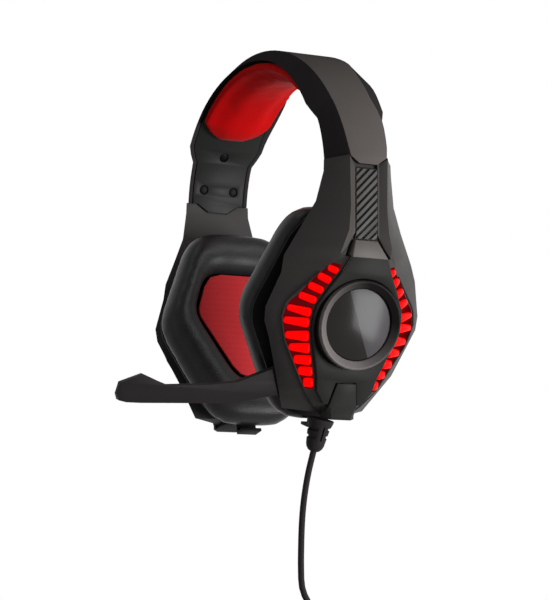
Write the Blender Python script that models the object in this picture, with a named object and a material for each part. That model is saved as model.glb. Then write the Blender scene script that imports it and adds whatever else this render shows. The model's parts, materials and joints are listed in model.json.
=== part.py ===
# Gaming headset: a headband, two sliding arms with six-sided cup housings, tilting ear cups,
# a microphone boom and a cord that is coiled and tied.
# Sizes are in millimetres, and MM turns them into metres where a mesh is made.
# Origin at the underside of the headband pad, +X to the wearer's left, -Y to the front, +Z up.

import math
import bpy
import bmesh
from mathutils import Matrix, Vector

MM = 0.001
CLEAR = 0.3          # gap between pieces that touch
RUN_CLEAR = 0.4      # gap between pieces that slide

# Headband
ARCH_HALF_SPAN = 79.0
ARCH_RISE = 69.3
BAND_END_ANGLE = 84.6     # degrees from the top, where the arms begin
BAND_FORWARD = 1.2        # how far the top leans forward
BAND_TOP_THICK = 5.6
BAND_END_THICK = 13.1
BAND_TOP_HALF = 21.2
BAND_FLARE = 1.1          # wider at the shoulders than at the top
BAND_NARROW_HALF = 18.1
NECK_START_ANGLE = 59.0
NECK_END_ANGLE = 67.0
PANEL_TOP_HALF = 15.5
PANEL_END_HALF = 10.7
REAR_FLARE = 2.2          # back edge of the band, further out at each shoulder
REAR_FLARE_ANGLES = (22.0, 36.0, 40.0, 60.0)
REAR_SET_IN = 3.1         # back edge of the panel, further in at each shoulder
REAR_SET_ANGLES = (30.0, 46.0, 57.0, 72.0)
SHELL_WALL = 2.0
SHELL_LIP = 2.2
BAND_STATIONS = 46
TONGUE_LENGTH = 4.2
TONGUE_TIP_HALF = 5.0
TONGUE_THICK = 1.7
COVER_THICK = 1.7
COVER_TONGUE_LENGTH = 4.6
COVER_TONGUE_HALF = 11.9
COVER_TONGUE_TIP_HALF = 5.6
SPRING_THICK = 0.8
SPRING_HALF = 7.0
SPRING_END_ANGLE = 57.0
PAD_THICK = 10.0
PAD_FLANGE_THICK = 5.2
PAD_INSET = 0.6
PAD_END_HALF = 8.0
PAD_TAPER_ANGLE = 44.0
PAD_END_ANGLE = 54.2
SCREW_HEAD_R = 2.4
SCREW_SHAFT_R = 1.2
SCREW_HEAD_THICK = 1.2
SCREW_SINK = 0.5
UPPER_SCREW_ANGLE = 62.7
LOWER_SCREW_ANGLE = 78.3
LOWER_SCREW_HALF = 9.0

# Slider
BLADE_OUT = 3.65          # inner face of the blade, from the end of the arch
BLADE_THICK = 1.5
BLADE_HALF = 11.5
BLADE_ABOVE_END = 12.28
BLADE_BELOW_END = 38.22
SLIDE_TRAVEL = 28.0

# Cup frame: u to the back, w up along the face, n out of the face, from the centre of the ring
CUP_OUT = 5.65            # from the end of the arch
CUP_BELOW = 81.82
CUP_LEAN = 15.0           # degrees, bottoms lean in
LEAN_SIN = math.sin(math.radians(CUP_LEAN))
LEAN_COS = math.cos(math.radians(CUP_LEAN))

# Top of the arm, from the end of the arch
ARM_OVERLAP = 3.18
ARM_BACK_OUT = 0.897
ARM_CREASE_OUT = 13.07
ARM_SEAT_OUT = 10.45
STRIP_DROP = 8.41
ARM_TOP = (CUP_BELOW + ARM_OVERLAP) / LEAN_COS
STRIP_TOP = (CUP_BELOW - STRIP_DROP) / LEAN_COS

# Ring and disc
RING_OUTER_R = 22.8
RING_WALL = 4.6
RING_EDGE = 0.7
RING_LIP = 0.9
RING_SEAT = -8.0
RING_RISE = 0.9
RING_SHOULDER = -0.6
RING_STEP = 0.3
DISC_TOP = -1.6
DISC_SLOPE = 0.04
DISC_RIDGE_LEAN = 24.0    # degrees from upright


def beside_ring(w, land):
    return math.sqrt(RING_OUTER_R ** 2 - w ** 2) + land


def arm_top_n(out):
    return (out - CUP_OUT - ARM_TOP * LEAN_SIN) / LEAN_COS


# Outlines of the arm and housing, from the top down: (w, half width, n)
BACK_EDGE = [(ARM_TOP, 18.4, arm_top_n(ARM_BACK_OUT)), (72, 18.8, -24.0), (57, 21.7, -22.5),
             (44, 27.9, -22.8), (29, RING_OUTER_R + 12.4, -22.8), (21, RING_OUTER_R + 13.6, -20.8),
             (3.5, RING_OUTER_R + 20.0, -20.5), (-3.5, RING_OUTER_R + 19.6, -20.5),
             (-12, RING_OUTER_R + 15.8, -20.5), (-28, RING_OUTER_R + 9.5, -22.0), (-47, 25.5, -22.8)]
REAR_SWELL = [(ARM_TOP, 0.3, 0.0), (72, 0.7, 0.0), (57, 0.8, 0.0), (44, 1.0, 0.0), (29, 1.9, 0.0),
              (21, 3.1, 0.0), (3.5, 0.8, 0.0), (-12, 1.2, 0.0), (-28, 1.6, 0.0), (-38, -2.0, 0.0),
              (-47, -5.3, 0.0)]
CREASE = [(ARM_TOP, 10.7, arm_top_n(ARM_CREASE_OUT)), (72, 10.4, -11.4), (57, 10.2, -7.0),
          (46, 11.2, -3.9), (34, 15.0, -2.6), (26, RING_OUTER_R - 1.8, -8.0),
          (8, RING_OUTER_R + 13.6, -13.8), (0, RING_OUTER_R + 15.0, -13.8),
          (-11, RING_OUTER_R + 12.0, -13.8), (-35, RING_OUTER_R - 2.0, -13.2), (-41, 15.5, -14.4),
          (-44, 13.5, -15.0), (-47, 11.5, -15.6)]
SEAT_EDGE = [(ARM_TOP, 7.2, arm_top_n(ARM_SEAT_OUT)), (57, 7.2, -9.7), (46, 7.2, -6.7), (38.5, 8.2, -5.8),
             (34, 10.0, -0.9), (26, RING_OUTER_R - 8.8, -1.6), (17, beside_ring(17, 4.2), -3.1),
             (8, beside_ring(8, 2.65), -4.5), (3.5, beside_ring(3.5, 2.25), -4.9),
             (-4, beside_ring(-4, 2.35), -5.5),
             (-12, beside_ring(-12, 3.0), -6.4), (-28, RING_OUTER_R - 5.8, -8.2), (-35, 15.7, -9.0),
             (-41, 11.0, -9.5), (-44, 6.6, -9.8), (-47, 5.5, -10.0)]

# Channel, strip and spine
CHANNEL_HALF = 6.3
CHANNEL_DEPTH = 4.5
POCKET_TOP = 44.6
POCKET_LOW = 33.2
POCKET_RIM = 2.6
POCKET_FLOOR = -7.5
STRIP_THICK = 1.1
RIB_COUNT = 12
RIB_HEIGHT = 0.9
RIB_SLANT = 11.2
RIB_WIDTH = 2.0
CAP_TOP = 41.3
CAP_TOP_HALF = 6.3
CAP_LOW_HALF = 10.0
CAP_TOP_THICK = 2.2
SPINE_THICK = 1.6
SPINE_LOW = -41.5

# Light guides: for each fin from the top down, where it starts on the crease and ends on the seat's edge
FIN_OUTER_W = [27.2, 22.5, 17.4, 11.8, 4.8, -1.3, -8.7, -14.4, -20.6, -26.1, -31.8]
FIN_INNER_W = [25.7, 19.7, 14.8, 10.1, 3.9, -0.7, -7.7, -14.3, -20.2, -26.2, -32.0]
FIN_RIM = [1.5, 1.4, 2.0, 3.0, 2.1, 1.5, 1.5, 1.5, 1.5, 1.5, 1.8]
FIN_GAP = [0.8, 0.7, 0.7, 0.7, 0.7, 0.7, 0.7, 0.9, 0.8, 1.0, 0.8]
FIN_COUNT = len(FIN_OUTER_W)
FIN_SHARE = 0.74          # of the pitch
FIN_PROUD = 0.4
GUIDE_BASE = 1.0
GUIDE_CLEAR = 0.45
RECESS_DEPTH = 2.8

# Inside of the housing
HOLLOW_TOP = 27.0
HOLLOW_LOW = -38.0
HOLLOW_LEVELS = (21.0, 8.0, 3.5, -3.5, -12.0, -28.0)
HOLLOW_WALL = 10.0
HOLLOW_STEP = -18.0
HOLLOW_CEILING = -10.8
CEILING_INSET = 6.5
BOARD_THICK = 1.4
BOARD_TOP = 20.0
BOARD_WAIST = -2.0
BOARD_LOW = -25.0
BACK_COVER_THICK = 1.7
BACK_COVER_N = -20.0

# Chin
CHIN_TOP = -30.5
CHIN_TOP_HALF = 5.1
CHIN_LOW_HALF = 8.7
CHIN_LIP_HALF = 6.5
CHIN_THICK = 2.1
CHIN_GAP = 0.6
CHIN_LIP = 1.7
CHIN_LIP_BACK = -20.5
HOUSING_LOW = -47.0

# Cup, on its pin
PIN_N = -24.6
PIN_R = 2.0
PIN_HALF = 11.0
EAR_INNER = 7.0
EAR_HALF_W = 4.0
EAR_TIP = 3.0
LUG_SIDE_GAP = 0.4
LUG_HALF_W = 4.5
LUG_TOP = 2.8
TILT_LIMIT = 3.0          # degrees either way
CUP_BACK = -28.8
CUP_WALL = 1.6
FLANGE_INSET = 3.0
CUP_DEPTH = 11.0           # from the flange's back face to the tub's mouth
TAB_HALF = 5.6
TAB_DROP = 1.5
TAB_REACH = 6.0
BAFFLE_THICK = 1.5
BAFFLE_HOLE_R = 17.0
DRIVER_R = 20.0
DRIVER_DEPTH = 4.6
DRIVER_DOME = 1.2
DRIVER_W = 5.0
LINER_THICK = 1.3
CUSHION_THICK = 17.4
CUSHION_CORNER_R = 14.0
OPENING_CORNER_R = 8.0
TUB_GAP = 0.8
# Six-sided outlines: half width at the top, height of the top, and so on for waist and bottom
CUSHION_TOP = (25.5, 54.0)
CUSHION_WAIST = (47.4, 4.0, -6.0)
CUSHION_LOW = (22.0, -55.5)
OPENING_TOP = (19.6, 29.6)
OPENING_WAIST = (27.2, 9.2, 4.2)
OPENING_LOW = (7.0, -29.6)

# Microphone boom, in the cup frame
BOOM_U = -24.5
BOOM_W = -33.5
BOOM_OUT = -23.3
BOOM_THICK = 3.9
HUB_R = 8.5
BAR_HEIGHT = 9.0
BAR_LOW_W = -46.4
BEND_U = -53.0
HEAD_U = -91.0
TIP_U = -114.0
HEAD_TOP_W = -33.8
HEAD_PEAK_U = -101.5
TIP_TOP_W = -38.4
HEAD_LOW_W = -47.8
BOOM_SWING = 90.0
BOOM_SCREW_R = 1.6
BOOM_SCREW_HEAD_R = 3.2
BOOM_SCREW_HEAD = 1.2
BOOM_SCREW_REACH = 2.4
CAPSULE_R = 3.0
CAPSULE_DEPTH = 2.0
CAPSULE_U = -103.0
CAPSULE_W = -40.8
GRILLE_THICK = 0.5

# Strain relief and cord
RELIEF_U = -7.8
RELIEF_N = -13.4
RELIEF_LEAN = 6.0         # degrees forward
RELIEF_TOP_R = 6.8
RELIEF_WAIST_R = 5.1
RELIEF_END_R = 4.6
RELIEF_LENGTH = 16.4
RELIEF_NOTCHES = (4.0, 8.0)      # from the top
RELIEF_NOTCH = 1.6
RELIEF_WEB = 2.7
RELIEF_SLOT = 0.8
CORD_D = 3.3
# Route of the free lead, chosen by hand, from the relief's end to the coil's top
LEAD_POINTS = [(-2.3, -1.1, -8.6), (-4.2, -1.9, -17.4), (-5.6, -2.5, -27.0), (-6.4, -2.8, -37.0),
               (-6.7, -2.9, -48.0), (-6.8, -2.8, -58.0), (-6.8, -2.1, -67.0), (-6.8, 1.2, -74.0),
               (-6.8, 6.3, -78.2)]
COIL_OFFSET = (-6.8, 14.0, -79.0)     # top of the coil, from the relief's end
COIL_OUTER_R = 22.5
COIL_TURNS = 10.0 + 60.0 / 360.0
COIL_LAYERS = 4
COIL_PITCH = 4.0
COIL_POINTS_PER_TURN = 24
COIL_END_RUN = 13.0
TIE_ANGLE = 300.0
TIE_THICK = 1.0
TIE_WIDTH = 6.0
TIE_GAP = 0.5
PLUG_GRIP_R = 4.2
PLUG_GRIP_LENGTH = 20.0
PLUG_PIN_R = 1.75
PLUG_PIN_LENGTH = 14.0

BAND_TOP_Z = PAD_THICK + CLEAR
BAND_WIDE_HALF = BAND_TOP_HALF + BAND_FLARE
PAD_HALF = BAND_TOP_HALF - PAD_INSET
BAND_END_X = ARCH_HALF_SPAN * math.sin(math.radians(BAND_END_ANGLE))
BAND_END_Z = BAND_TOP_Z - ARCH_RISE * (1.0 - math.cos(math.radians(BAND_END_ANGLE)))
BLADE_X = BAND_END_X + BLADE_OUT
CUP_CENTRE_X = BAND_END_X + CUP_OUT
CUP_CENTRE_Z = BAND_END_Z - CUP_BELOW
RING_INNER_R = RING_OUTER_R - RING_WALL


def clear_scene():
    for old in list(bpy.data.objects):
        bpy.data.objects.remove(old)


def finish(name, colour, roughness, metallic=0.0):
    found = bpy.data.materials.get(name)
    if found:
        return found
    mat = bpy.data.materials.new(name)
    mat.use_nodes = True
    shader = mat.node_tree.nodes["Principled BSDF"]
    shader.inputs["Base Color"].default_value = (*colour, 1.0)
    shader.inputs["Roughness"].default_value = roughness
    shader.inputs["Metallic"].default_value = metallic
    return mat


def make_finishes():
    return {
        "shell": finish("satin_black", (0.020, 0.019, 0.019), 0.42),
        "arm": finish("graphite", (0.036, 0.035, 0.034), 0.45),
        "grey": finish("grey_plastic", (0.11, 0.105, 0.10), 0.40),
        "dark": finish("dark_plastic", (0.012, 0.012, 0.012), 0.55),
        "gloss": finish("gloss_black", (0.025, 0.024, 0.024), 0.18),
        "light": finish("red_light", (0.90, 0.008, 0.006), 0.30),
        "red": finish("red_fabric", (0.42, 0.010, 0.012), 0.80),
        "hide": finish("black_leatherette", (0.022, 0.022, 0.022), 0.50),
        "steel": finish("steel", (0.55, 0.55, 0.56), 0.30, 1.0),
        "screw": finish("black_steel", (0.03, 0.03, 0.03), 0.40, 1.0),
        "board": finish("circuit_board", (0.02, 0.10, 0.03), 0.50),
        "rubber": finish("black_rubber", (0.030, 0.029, 0.029), 0.65),
        "gold": finish("gold_plate", (0.80, 0.58, 0.22), 0.25, 1.0),
    }


def carrier(name, place, parent=None):
    empty = bpy.data.objects.new(name, None)
    bpy.context.collection.objects.link(empty)
    empty["place"] = tuple(place)
    base = Vector(parent["place"]) if parent else Vector()
    empty.parent = parent
    empty.location = (Vector(place) - base) * MM
    return empty


def close_up(mesh):
    work = bmesh.new()
    work.from_mesh(mesh)
    bmesh.ops.remove_doubles(work, verts=work.verts, dist=2e-6)
    bmesh.ops.dissolve_degenerate(work, edges=work.edges, dist=1e-6)
    bmesh.ops.recalc_face_normals(work, faces=work.faces)
    work.to_mesh(mesh)
    work.free()


def solid(name, shape, mat, parent=None):
    verts, faces = shape
    base = Vector(parent["place"]) if parent else Vector()
    mesh = bpy.data.meshes.new(name)
    mesh.from_pydata([(Vector(v) - base) * MM for v in verts], [], faces)
    close_up(mesh)
    piece = bpy.data.objects.new(name, mesh)
    bpy.context.collection.objects.link(piece)
    piece.parent = parent
    mesh.materials.append(mat)
    return piece


def combine(piece, operation, *shapes):
    for shape in shapes:
        tool = solid(piece.name + "_tool", shape, piece.data.materials[0], piece.parent)
        step = piece.modifiers.new("step", "BOOLEAN")
        step.operation = operation
        step.solver = "EXACT"
        step.object = tool
        bpy.context.view_layer.update()
        view = bpy.context.evaluated_depsgraph_get()
        result = bpy.data.meshes.new_from_object(piece.evaluated_get(view))
        close_up(result)
        piece.modifiers.clear()
        old = piece.data
        piece.data = result
        bpy.data.meshes.remove(old)
        spare = tool.data
        bpy.data.objects.remove(tool)
        bpy.data.meshes.remove(spare)
        result.name = piece.name
    return piece


def mirrored(piece, name, parent=None):
    mesh = piece.data.copy()
    mesh.name = name
    mesh.transform(Matrix.Scale(-1, 4, (1, 0, 0)))
    mesh.flip_normals()
    twin = bpy.data.objects.new(name, mesh)
    bpy.context.collection.objects.link(twin)
    twin.parent = parent
    return twin


def smooth(piece, angle=35.0):
    piece.data.shade_smooth()
    piece.data.set_sharp_from_angle(angle=math.radians(angle))
    return piece


# Shape helpers: each gives a list of points and a list of faces
def loft(sections, looped=False):
    count = len(sections[0])
    verts = [p for section in sections for p in section]
    faces = []
    rows = len(sections) if looped else len(sections) - 1
    for i in range(rows):
        here = i * count
        there = ((i + 1) % len(sections)) * count
        for j in range(count):
            k = (j + 1) % count
            faces.append((here + j, here + k, there + k, there + j))
    if not looped:
        last = (len(sections) - 1) * count
        faces.append(tuple(reversed(range(count))))
        faces.append(tuple(range(last, last + count)))
    return verts, faces


def turned(profile, start, direction, segments=24):
    axis = Vector(direction).normalized()
    side = axis.orthogonal().normalized()
    other = axis.cross(side)
    sections = []
    for radius, along in profile:
        ring = []
        for i in range(segments):
            turn = 2 * math.pi * i / segments
            out = side * math.cos(turn) + other * math.sin(turn)
            ring.append(Vector(start) + axis * along + out * radius)
        sections.append(ring)
    return loft(sections)


def turned_ring(profile, start, direction, segments=36):
    axis = Vector(direction).normalized()
    side = axis.orthogonal().normalized()
    other = axis.cross(side)
    sections = []
    for i in range(segments):
        turn = 2 * math.pi * i / segments
        out = side * math.cos(turn) + other * math.sin(turn)
        sections.append([Vector(start) + axis * along + out * radius for radius, along in profile])
    return loft(sections, looped=True)


def rod(radius, start, end, segments=20):
    reach = Vector(end) - Vector(start)
    return turned([(radius, 0.0), (radius, reach.length)], start, reach, segments)


def cup_point(u, w, n):
    return Vector((CUP_CENTRE_X + w * LEAN_SIN + n * LEAN_COS, u, CUP_CENTRE_Z + w * LEAN_COS - n * LEAN_SIN))


CUP_NORMAL = (LEAN_COS, 0.0, -LEAN_SIN)


def plate(outline, low, high):
    return loft([[cup_point(u, w, low) for u, w in outline], [cup_point(u, w, high) for u, w in outline]])


def box(u0, u1, w0, w1, n0, n1):
    return plate([(u0, w0), (u1, w0), (u1, w1), (u0, w1)], n0, n1)


def along(line, w):
    for (w0, h0, n0), (w1, h1, n1) in zip(line, line[1:]):
        if w0 >= w >= w1:
            t = (w0 - w) / (w0 - w1)
            return h0 + (h1 - h0) * t, n0 + (n1 - n0) * t
    return line[-1][1:] if w < line[-1][0] else line[0][1:]


def six_sided(top, waist, low, inset=0.0):
    right = [(top[0], top[1]), (waist[0], waist[1]), (waist[0], waist[2]), (low[0], low[1])]
    outline = right + [(-u, w) for u, w in reversed(right)]
    if not inset:
        return outline
    grown = []
    count = len(outline)
    for i in range(count):
        a, b, c = (Vector(outline[(i + k - 1) % count]) for k in range(3))
        d0, d1 = (b - a).normalized(), (c - b).normalized()
        m0, m1 = Vector((d0.y, -d0.x)), Vector((d1.y, -d1.x))
        turn = 1.0 + m0.dot(m1)
        grown.append(tuple(b + (m0 + m1) * (inset / turn)))
    return grown


def rounded(outline, radius, steps=3):
    points = []
    count = len(outline)
    for i in range(count):
        a, b, c = (Vector(outline[(i + k - 1) % count]) for k in range(3))
        reach = min(radius, 0.45 * (a - b).length, 0.45 * (c - b).length)
        start, end = b + (a - b).normalized() * reach, b + (c - b).normalized() * reach
        for k in range(steps + 1):
            t = k / steps
            points.append(tuple(start * (1 - t) ** 2 + b * 2 * t * (1 - t) + end * t * t))
    return points


# Headband
def ease(x):
    x = min(max(x, 0.0), 1.0)
    return x * x * (3 - 2 * x)


def band_point(angle, y, lift):
    turn = math.radians(angle)
    across, up = math.sin(turn), math.cos(turn)
    normal = Vector((across / ARCH_HALF_SPAN, 0.0, up / ARCH_RISE)).normalized()
    low = math.cos(math.radians(BAND_END_ANGLE))
    forward = BAND_FORWARD * (up - low) / (1.0 - low)
    arch = Vector((ARCH_HALF_SPAN * across, y - forward, BAND_TOP_Z - ARCH_RISE + ARCH_RISE * up))
    return arch + normal * lift


def band_normal(angle):
    return band_point(angle, 0.0, 1.0) - band_point(angle, 0.0, 0.0)


def band_half(angle):
    narrow = ease((abs(angle) - NECK_START_ANGLE) / (NECK_END_ANGLE - NECK_START_ANGLE))
    wide = BAND_TOP_HALF + (BAND_WIDE_HALF - BAND_TOP_HALF) * ease(abs(angle) / 45.0)
    return wide + (BAND_NARROW_HALF - wide) * narrow


def band_thick(angle):
    return BAND_TOP_THICK + (BAND_END_THICK - BAND_TOP_THICK) * (abs(angle) / BAND_END_ANGLE) ** 2


def panel_half(angle):
    return PANEL_TOP_HALF + (PANEL_END_HALF - PANEL_TOP_HALF) * (angle / BAND_END_ANGLE) ** 2


def shoulder(angle, stops):
    start, full, last, end = stops
    size = abs(angle)
    return ease((size - start) / (full - start)) * (1.0 - ease((size - last) / (end - last)))


def rear_half(angle):
    return band_half(angle) + REAR_FLARE * shoulder(angle, REAR_FLARE_ANGLES)


def rear_panel_half(angle):
    return panel_half(angle) - REAR_SET_IN * shoulder(angle, REAR_SET_ANGLES)


def band_angles(end, count):
    return [end * (2 * i / count - 1) for i in range(count + 1)]


def dropped(section, drop, scale=1.0):
    return [Vector((p[0], p[1] * scale, p[2] - drop)) for p in section]


def shell_section(angle):
    half, top, thick = band_half(angle), panel_half(angle), band_thick(angle)
    back, back_top = rear_half(angle), rear_panel_half(angle)
    ceiling = thick - SHELL_WALL
    inner_top = half - (half - top) * ceiling / thick - SHELL_LIP
    inner_back = back - (back - back_top) * ceiling / thick - SHELL_LIP
    outline = [(back, 0.0), (back_top, thick), (-top, thick), (-half, 0.0)]
    mouth = half - SHELL_LIP
    hollow = [(-mouth, 0.0), (-inner_top, ceiling), (inner_back, ceiling), (mouth, 0.0)]
    return [band_point(angle, y, lift) for y, lift in outline + hollow]


def tongue_sections(side, grow=0.0):
    end = side * BAND_END_ANGLE

    def slab(angle, half):
        thick = band_thick(angle)
        low, high = thick - TONGUE_THICK - grow, thick - 0.15 + 8 * grow
        return [band_point(angle, y, lift) for y, lift in
                ((-half, low), (half, low), (half, high), (-half, high))]

    wide = PANEL_END_HALF - 0.4 + grow
    root = slab(end, wide)
    tip = TONGUE_TIP_HALF + grow
    return [slab(side * (BAND_END_ANGLE - 4.0), wide), root, dropped(root, 0.5 + grow),
            dropped(root, TONGUE_LENGTH + grow, tip / wide)]


def cover_half(angle, lift):
    half = band_half(angle)
    return half - (half - rear_panel_half(angle)) * lift / band_thick(angle) - SHELL_LIP - 2 * CLEAR


def cover_section(angle, half, low=0.0, high=COVER_THICK, high_half=None):
    top = half if high_half is None else high_half
    corners = ((-half, low), (half, low), (top, high), (-top, high))
    return [band_point(angle, y, lift) for y, lift in corners]


def cover_tongue(side, grow=0.0):
    root = cover_section(side * BAND_END_ANGLE, COVER_TONGUE_HALF + grow, -8 * grow, COVER_THICK + grow)
    tip = (COVER_TONGUE_TIP_HALF + grow) / (COVER_TONGUE_HALF + grow)
    return [dropped(root, 0.4 - grow * 4), dropped(root, 0.5 + grow),
            dropped(root, COVER_TONGUE_LENGTH + grow, tip)]


def pad_section(angle):
    taper = max((abs(angle) - PAD_TAPER_ANGLE) / (PAD_END_ANGLE - PAD_TAPER_ANGLE), 0.0) ** 1.6
    half = PAD_HALF + (PAD_END_HALF - PAD_HALF) * taper
    swell = math.sqrt(max(1.0 - (abs(angle) / PAD_END_ANGLE) ** 6, 0.0))
    section = [band_point(angle, half, -CLEAR), band_point(angle, -half, -CLEAR)]
    steps = 10
    for i in range(steps + 1):
        v = 2 * i / steps - 1
        pillow = ease((1.0 - abs(v)) / 0.55 - 0.25)
        edge = PAD_FLANGE_THICK * (0.45 + 0.55 * swell)
        deep = edge + (PAD_THICK - PAD_FLANGE_THICK) * pillow * swell
        section.append(band_point(angle, v * half, -CLEAR - deep))
    return section


def screw_shape(angle, y, tip_lift):
    start = band_point(angle, y, SCREW_SINK)
    reach = tip_lift - SCREW_SINK
    profile = [(SCREW_HEAD_R, 0.0), (SCREW_HEAD_R, SCREW_HEAD_THICK), (SCREW_SHAFT_R, SCREW_HEAD_THICK),
               (SCREW_SHAFT_R, reach)]
    return turned(profile, start, band_normal(angle), 12)


def screw_places(side):
    upper = band_thick(UPPER_SCREW_ANGLE) - SHELL_WALL - CLEAR
    lower = 8.0
    return [(side * UPPER_SCREW_ANGLE, 0.0, upper), (side * LOWER_SCREW_ANGLE, -LOWER_SCREW_HALF, lower),
            (side * LOWER_SCREW_ANGLE, LOWER_SCREW_HALF, lower)]


def blade_shape(grow=0.0, above=BLADE_ABOVE_END, below=BLADE_BELOW_END):
    x0, x1 = BLADE_X - grow, BLADE_X + BLADE_THICK + grow
    half = BLADE_HALF + grow
    corners = [(x0, -half), (x1, -half), (x1, half), (x0, half)]
    return loft([[(x, y, z) for x, y in corners] for z in (BAND_END_Z + above, BAND_END_Z - below)])


def build_headband(looks):
    angles = band_angles(BAND_END_ANGLE, BAND_STATIONS)
    shell = solid("headband_shell", loft([shell_section(a) for a in angles]), looks["shell"])
    for side in (-1, 1):
        combine(shell, "UNION", loft(tongue_sections(side)))
    smooth(shell)

    strip = [cover_section(a, cover_half(a, 0.0), high_half=cover_half(a, COVER_THICK)) for a in angles]
    cover = solid("headband_inner_cover", loft(strip), looks["shell"])
    for side in (-1, 1):
        root = cover_section(side * BAND_END_ANGLE, COVER_TONGUE_HALF)
        tail = cover_tongue(side)[1:]
        combine(cover, "UNION", loft([dropped(root, -2.0)] + tail))
    holes = []
    screw_number = 0
    for side in (-1, 1):
        for angle, y, tip in screw_places(side):
            screw_number += 1
            smooth(solid(f"band_screw_{screw_number}", screw_shape(angle, y, tip), looks["screw"]))
            axis = band_normal(angle)
            place = band_point(angle, y, 0.0)
            holes.append(rod(SCREW_HEAD_R + CLEAR, place - axis * 2, place + axis * (COVER_THICK + 2), 12))
    combine(cover, "DIFFERENCE", *holes)
    smooth(cover)

    spring_low = COVER_THICK + CLEAR
    strip = [cover_section(a, SPRING_HALF, spring_low, spring_low + SPRING_THICK)
             for a in band_angles(SPRING_END_ANGLE, 20)]
    smooth(solid("headband_spring", loft(strip), looks["steel"]))
    pad = [pad_section(a) for a in band_angles(PAD_END_ANGLE, 24)]
    smooth(solid("headband_pad", loft(pad), looks["red"]), 60)

    blade = solid("slider_blade_left", blade_shape(), looks["steel"])
    for angle, y, _ in screw_places(1)[1:]:
        axis = band_normal(angle)
        place = band_point(angle, y, 0.0)
        combine(blade, "DIFFERENCE", rod(SCREW_SHAFT_R + RUN_CLEAR, place, place + axis * 12, 16))
    mirrored(blade, "slider_blade_right")


# Arm and housing
def housing_sections():
    levels = sorted({w for line in (BACK_EDGE, CREASE, SEAT_EDGE) for w, _, _ in line}, reverse=True)
    sections = []
    for w in levels:
        right = [along(BACK_EDGE, w), along(CREASE, w), along(SEAT_EDGE, w)]
        ring = right + [(-h, n) for h, n in reversed(right)]
        ring[0] = (right[0][0] + along(REAR_SWELL, w)[0], right[0][1])
        sections.append([cup_point(h, w, n) for h, n in ring])
    return sections


def seat_n(w):
    return along(SEAT_EDGE, w)[1]


def between(values, place):
    spot = min(max(place - 0.5, -0.5), len(values) - 0.5)
    k = min(max(int(spot), 0), len(values) - 2)
    return values[k] + (values[k + 1] - values[k]) * (spot - k)


def slope_station(place, low, high, shrink, facing):
    ends = []
    for line, levels in ((CREASE, FIN_OUTER_W), (SEAT_EDGE, FIN_INNER_W)):
        w = between(levels, place)
        half, n = along(line, w)
        ends.append(Vector((half, w, n)))
    outer, inner = ends
    across = inner - outer
    up = Vector((across.z, 0.0, -across.x)).normalized()
    reach = across.normalized()
    start = outer + reach * (between(FIN_RIM, place) - CLEAR + shrink)
    end = inner - reach * (between(FIN_GAP, place) + shrink)
    ring = [start + up * low, end + up * low, end + up * high, start + up * high]
    return [cup_point(facing * p.x, p.y, p.z) for p in ring]


def recess_shape(facing):
    steps = 2 * FIN_COUNT
    places = [FIN_COUNT * i / steps for i in range(steps + 1)]
    return loft([slope_station(place, -RECESS_DEPTH, 7.0, 0.0, facing) for place in places])


def guide_shape(facing):
    base = -RECESS_DEPTH + GUIDE_CLEAR
    low, high = base + GUIDE_BASE, FIN_PROUD
    edge = 0.07
    stops = [(edge, low)]
    for k in range(FIN_COUNT):
        start = k + 0.5 - FIN_SHARE / 2
        end = k + 0.5 + FIN_SHARE / 2
        stops += [(start - edge / 2, low), (start + edge / 2, high)]
        stops += [(end - edge / 2, high), (end + edge / 2, low)]
    stops.append((FIN_COUNT - edge, low))
    return loft([slope_station(place, base, top, GUIDE_CLEAR, facing) for place, top in stops])


def crease_levels(top, low):
    return [top] + [w for w, _, _ in CREASE if top > w > low] + [low]


def channel_shape():
    sections = []
    for w in crease_levels(CREASE[0][0] + 2.0, POCKET_TOP - 6.0):
        floor = along(CREASE, w)[1] - CHANNEL_DEPTH
        corners = [(-CHANNEL_HALF, floor), (CHANNEL_HALF, floor), (CHANNEL_HALF, 12.0), (-CHANNEL_HALF, 12.0)]
        sections.append([cup_point(u, w, n) for u, n in corners])
    return loft(sections)


def pocket_shape():
    sections = []
    for w, half in ((POCKET_TOP, CHANNEL_HALF), (POCKET_LOW, along(CREASE, POCKET_LOW)[0] - POCKET_RIM)):
        sections.append([cup_point(u, w, n) for u, n in
                         ((-half, POCKET_FLOOR), (half, POCKET_FLOOR), (half, 12.0), (-half, 12.0))])
    return loft(sections)


def hollow_half(w):
    return along(BACK_EDGE, w)[0] - HOLLOW_WALL


def hollow_shape():
    sections = []
    for w in (HOLLOW_TOP,) + HOLLOW_LEVELS + (HOLLOW_LOW,):
        mouth = hollow_half(w)
        ceiling = along(SEAT_EDGE, w)[0] - CEILING_INSET
        right = [(mouth, -30.0), (mouth, HOLLOW_STEP), (ceiling, HOLLOW_CEILING)]
        ring = right + [(-h, n) for h, n in reversed(right)]
        sections.append([cup_point(h, w, n) for h, n in ring])
    return loft(sections)


def seam_trim():
    end = BAND_END_ANGLE
    down = (band_point(end + 0.01, 0, 0) - band_point(end, 0, 0)).normalized()
    centre = band_point(end, 0.0, BAND_END_THICK / 2) + down * CLEAR
    across = Vector((0.0, 1.0, 0.0))
    out = band_normal(end)
    corners = [centre + across * (s * 60) + out * (t * 60) for s, t in ((-1, -1), (1, -1), (1, 1), (-1, 1))]
    return loft([corners, [c - down * 60 for c in corners]])


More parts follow.
